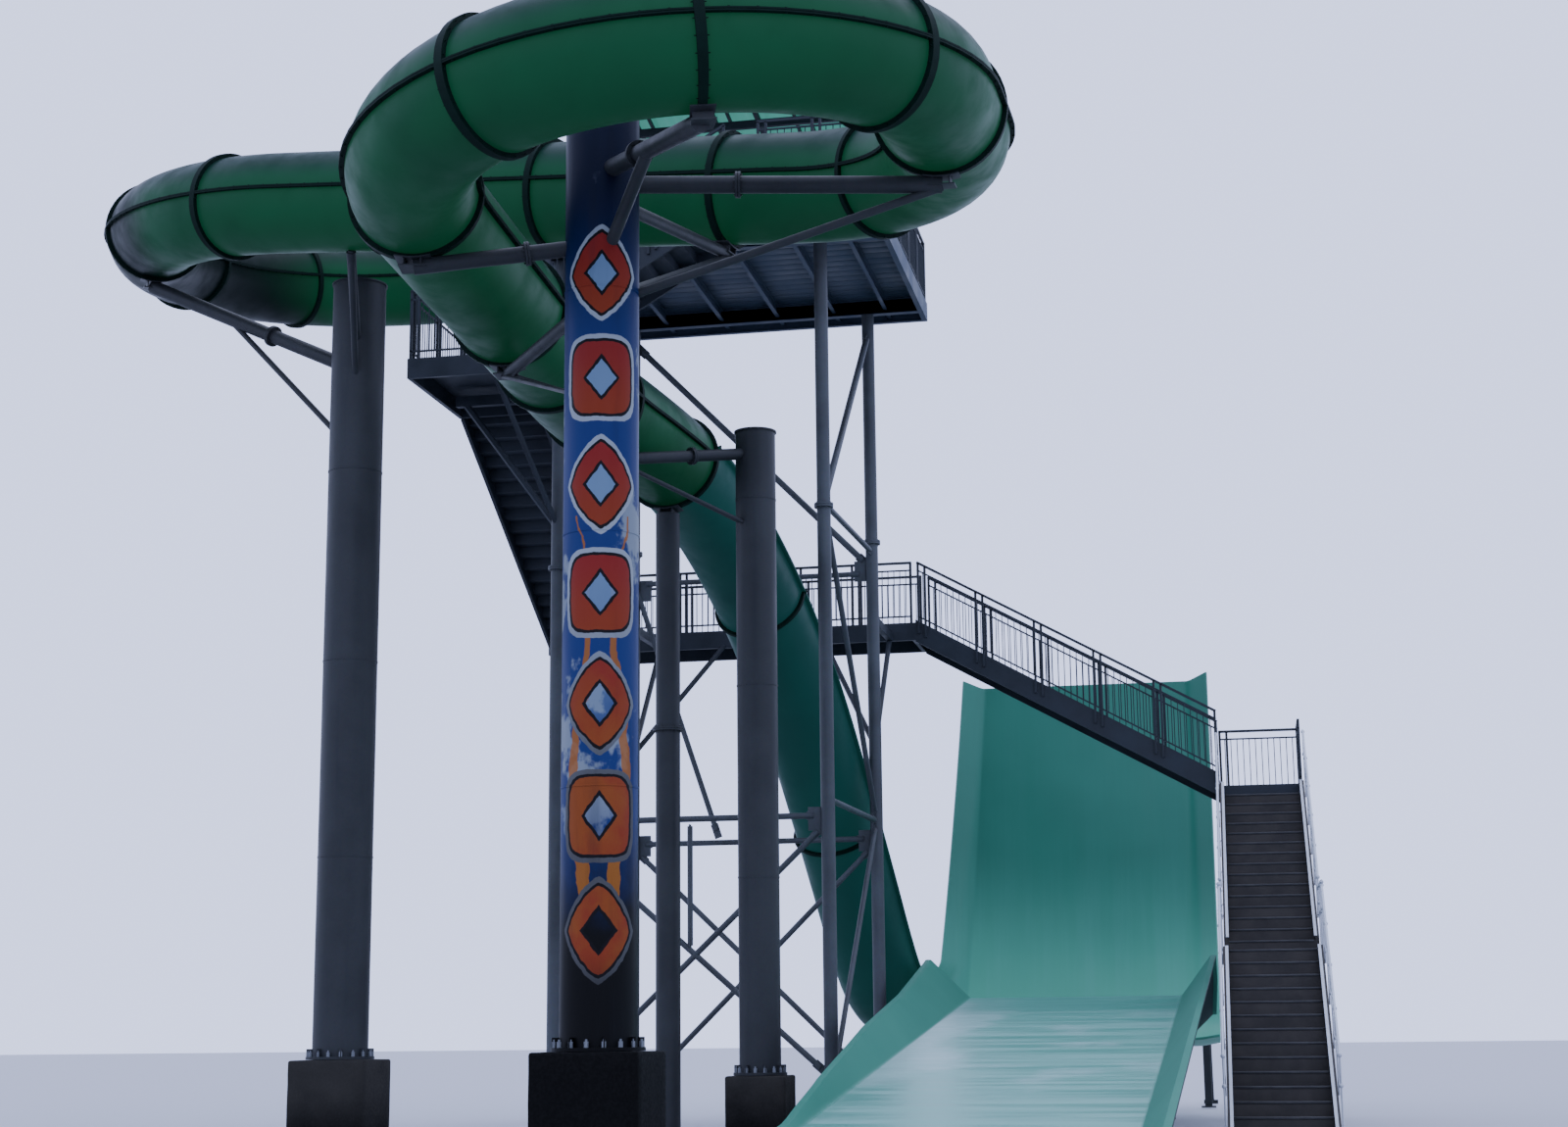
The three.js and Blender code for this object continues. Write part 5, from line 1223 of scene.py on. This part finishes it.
# The wall is lighter towards the bottom.
lighter_low = teal.between(high + soft_cloud * 1.2, 6.0, 2.3)
film = teal.between(falls * 0.6 + thin_falls * 0.5, 0.45, 0.75)
teal.set(
    base_color=teal.cover(
        shade(30, 104, 84),
        (teal.between(soft_cloud, 0.3, 0.7), shade(38, 112, 91)),
        (lighter_low, shade(88, 164, 136)),
        (strip * 0.4, shade(60, 130, 108)),
        (film * teal.between(high, 6.0, 2.0, 0.02, 0.14), shade(104, 168, 156)),
    ),
    roughness=teal.between(falls, 0.3, 0.7, 0.3, 0.42),
)
teal.bump(thin_falls * film * lighter_low, 0.002, 0.3)
paint(wall, teal)

SEAT_GAP = 0.0004
seat_start, seat_end = along(CHUTE_JOINTS[-1]), along(CHUTE_JOINTS[-1] + 0.06)
seat_ring = trough(seat_start + SEAT_GAP, seat_end - seat_start, FLANGE, FLANGE_LIP)
thicken(seat_ring, FLANGE - TUBE + WALL_THICKNESS)
foot = block((seat_start + SEAT_GAP, -0.4, -0.97), (seat_end, 0.4, -0.74))
seat = paint(bend(join([seat_ring, foot]), slide_guide), teal)
mount(join([wall, seat]), "curved_wall", "teal_fibreglass", "wall")


# The run-out is a wide channel in long panels. It comes over a crest from the wall and falls gently
# to its open end, and its leaning side walls get lower on the way. A film of water covers the floor.
FLOOR_LEFT = 1.88
FLOOR_RIGHT = 5.82
CREST_Y = 19.4
SHOULDER = 18.9
CREST = 2.18
RUN_OUT_END = -1.5
RUN_OUT_FAR = 20.93
RUN_OUT_LIP, LIP_DROP = 0.09, 0.045
FLOOR_FALL, CREST_SWELL, WALL_DROP = 0.098, 0.04, 0.74
LEFT_LEAN, LEAST_LEAN, LEAN_GONE = 0.74, 0.06, 0.82
RIGHT_LEAN, RIGHT_LEAN_END = 0.56, 0.33
RIGHT_RIM, RIGHT_RIM_END = 0.73, 0.38
LEFT_RIM = [
    (-1.5, 0.1), (1.7, 0.1), (2.5, 0.19), (3.9, 0.32), (6.5, 0.4),
    (9, 0.49), (14, 0.52), (19.4, 0.73), (21, 0.73),
]


def run_out_floor(y):
    """Height of the run-out's floor at a place along it."""
    if y <= SHOULDER:
        return CREST - FLOOR_FALL * (SHOULDER - y)
    beyond = (y - SHOULDER) / (RUN_OUT_FAR - SHOULDER)
    swell = CREST_SWELL * math.sin(math.pi * min(1, beyond * 2.2))
    return CREST + swell - WALL_DROP * smoothstep(beyond, 0.2, 1)


def run_out_section(y):
    """Corners of the run-out's skin across it, from the left lip to the right lip."""
    t = min(max((CREST_Y - y) / (CREST_Y - RUN_OUT_END), 0), 1)
    entering = smoothstep(y, 19.9, 20.9)
    left = FLOOR_LEFT - max(LEAST_LEAN, LEFT_LEAN * (1 - t / LEAN_GONE)) * (1 - 0.55 * entering)
    right = FLOOR_RIGHT + mix(RIGHT_LEAN, RIGHT_LEAN_END, t) * (1 - 0.1 * entering)
    floor = run_out_floor(y)
    lower = 1 - 0.35 * entering
    right_rim = floor + mix(RIGHT_RIM, RIGHT_RIM_END, t) * lower
    (near, low), (far, high) = next(pair for pair in zip(LEFT_RIM, LEFT_RIM[1:]) if y <= pair[1][0])
    left_rim = floor + mix(low, high, (y - near) / (far - near)) * lower
    return [
        (left - RUN_OUT_LIP, left_rim - LIP_DROP),
        (left - RUN_OUT_LIP, left_rim),
        (left, left_rim),
        (FLOOR_LEFT, floor),
        (FLOOR_RIGHT, floor),
        (right, right_rim),
        (right + RUN_OUT_LIP, right_rim),
        (right + RUN_OUT_LIP, right_rim - LIP_DROP),
    ]


CORNER_SHARES = [0, 0.02, 0.06, 0.2, 0.8, 0.94, 0.98, 1]
HALF_WAY = CREST_Y - 1.4
clear()
bpy.ops.mesh.primitive_grid_add(x_subdivisions=100, y_subdivisions=150, size=1)
run_out = bpy.context.object
for vert in run_out.data.vertices:
    across_share, along_share = vert.co.x + 0.5, vert.co.y * 2
    y = mix(HALF_WAY, RUN_OUT_FAR if along_share < 0 else RUN_OUT_END, abs(along_share))
    corners = run_out_section(y)
    i = max(k for k in range(len(CORNER_SHARES) - 1) if CORNER_SHARES[k] <= across_share + 1e-6)
    part = (across_share - CORNER_SHARES[i]) / (CORNER_SHARES[i + 1] - CORNER_SHARES[i])
    x, z = (mix(a, b, part) for a, b in zip(corners[i], corners[i + 1]))
    vert.co = (x, y, z)
pick(run_out)
bpy.ops.object.mode_set(mode="EDIT")
bpy.ops.mesh.select_all(action="SELECT")
bpy.ops.mesh.normals_make_consistent(inside=False)
bpy.ops.object.mode_set(mode="OBJECT")
thicken(modify(run_out, "SMOOTH", factor=0.5, iterations=1), SHELL)

aqua = Finish("run_out_fibreglass", specular_ior_level=0.25)
y = aqua.axis("Y")
ripples = aqua.noise(2.4, 5, stretch=(0.12, 1.5, 1))
foam = aqua.noise(0.9, 6, stretch=(0.6, 0.5, 1))
x = aqua.axis("X")
right_of_fold = aqua.between(x, FLOOR_LEFT - 0.02, FLOOR_LEFT + 0.04)
left_of_fold = aqua.between(x, FLOOR_RIGHT + 0.02, FLOOR_RIGHT - 0.04)
flat = right_of_fold * left_of_fold
spray = aqua.between(x, 3.3, 1.9) * aqua.between(y, 2.0, 16.0)
streak = aqua.between(aqua.noise(1.3, 6, stretch=(0.1, 1.4, 1)), 0.54, 0.7, 0, 0.5)
lather = aqua.between(x + foam * 2.4, 3.7, 2.7) * aqua.between(abs(y - 16.8), 2.4, 1.0)
floor_tone = aqua.cover(
    shade(88, 150, 134),
    (aqua.between(ripples, 0.38, 0.62), shade(116, 170, 156)),
    (aqua.between(foam + spray * 0.34, 0.54, 0.72, 0, 0.7), shade(152, 186, 180)),
    (streak * aqua.between(y, 9.0, 17.0), shade(60, 118, 106)),
    # Painted shade: the floor darkens on its way up to the crest.
    (aqua.between(y + ripples * 1.6, 16.4, 17.8, 0, 0.8), shade(74, 138, 122)),
    (lather * aqua.between(foam, 0.44, 0.6, 0.2, 0.9), shade(164, 192, 190)),
)
# Painted shade: the outward faces of the side walls are painted dark.
outer_face_shade = aqua.between(aqua.normal("X") * (x - (FLOOR_LEFT + FLOOR_RIGHT) / 2), 0.4, 0.9)
side_tone = aqua.cover(
    shade(38, 108, 88), (aqua.noise(0.5, 3), shade(54, 124, 102)), (outer_face_shade, shade(14, 42, 38)),
)
aqua.set(
    base_color=aqua.mix(flat, side_tone, floor_tone),
    roughness=aqua.between(ripples, 0.3, 0.7, 0.28, 0.45) * flat + 0.7 * (1 - flat),
)
aqua.bump(ripples * flat + foam * flat * 0.4, 0.004, 0.2)
mount(paint(run_out, aqua), "run_out_channel", "aqua_fibreglass", "run_out", smooth=40)


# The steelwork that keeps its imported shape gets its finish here: the flights of stairs, two landings,
# the bridge, the roof's frame, and the bolted frames behind the wall and under the run-out.
tread_steel = Finish("tread_steel", specular_ior_level=0.15)
worn = tread_steel.noise(2.2, 6)
tread_steel.set(
    base_color=tread_steel.mix(tread_steel.between(worn, 0.3, 0.7), shade(48, 46, 44), shade(64, 61, 58)),
    roughness=tread_steel.between(worn, 0.3, 0.7, 0.5, 0.75),
)
FINISHES = {
    "concrete": concrete, "galvanised_steel": steel, "painted_column": art, "green_fibreglass": tube_green,
    "chute_fibreglass": chute_green, "dark_steel": dark_steel, "roof_sheet": roofing,
    "pale_rail": pale_steel, "teal_fibreglass": teal, "aqua_fibreglass": aqua, "stair_steel": tread_steel,
}
for entry in frame["record"]["subparts"]:
    paint(frame["nodes"][entry["node"]], FINISHES[entry["material_slot"]])


# The stage: a plain pale floor, an even pale sky and two broad soft lights.
clear()
bpy.ops.mesh.primitive_plane_add(size=500, location=(0, 0, -0.02))
floor = bpy.context.object
plain = Finish("plain_floor", base_color=shade(170, 172, 178), roughness=0.9)
paint(floor, plain)
world = bpy.data.worlds.new("sky")
bpy.context.scene.world = world
world.use_nodes = True
sky_light = world.node_tree.nodes["Background"].inputs
sky_light["Color"].default_value = (*shade(190, 200, 240), 1)
sky_light["Strength"].default_value = 2.5
for name, turn, power in (("overcast", (-20, 12, 0), 0.5), ("fill", (60, 0, 25), 0.1)):
    clear()
    bpy.ops.object.light_add(type="SUN", rotation=[math.radians(a) for a in turn])
    light = bpy.context.object
    light.name = name
    light.data.energy = power
    light.data.angle = math.radians(60)

for path in (slide_guide, wall_guide):
    bpy.data.objects.remove(path)
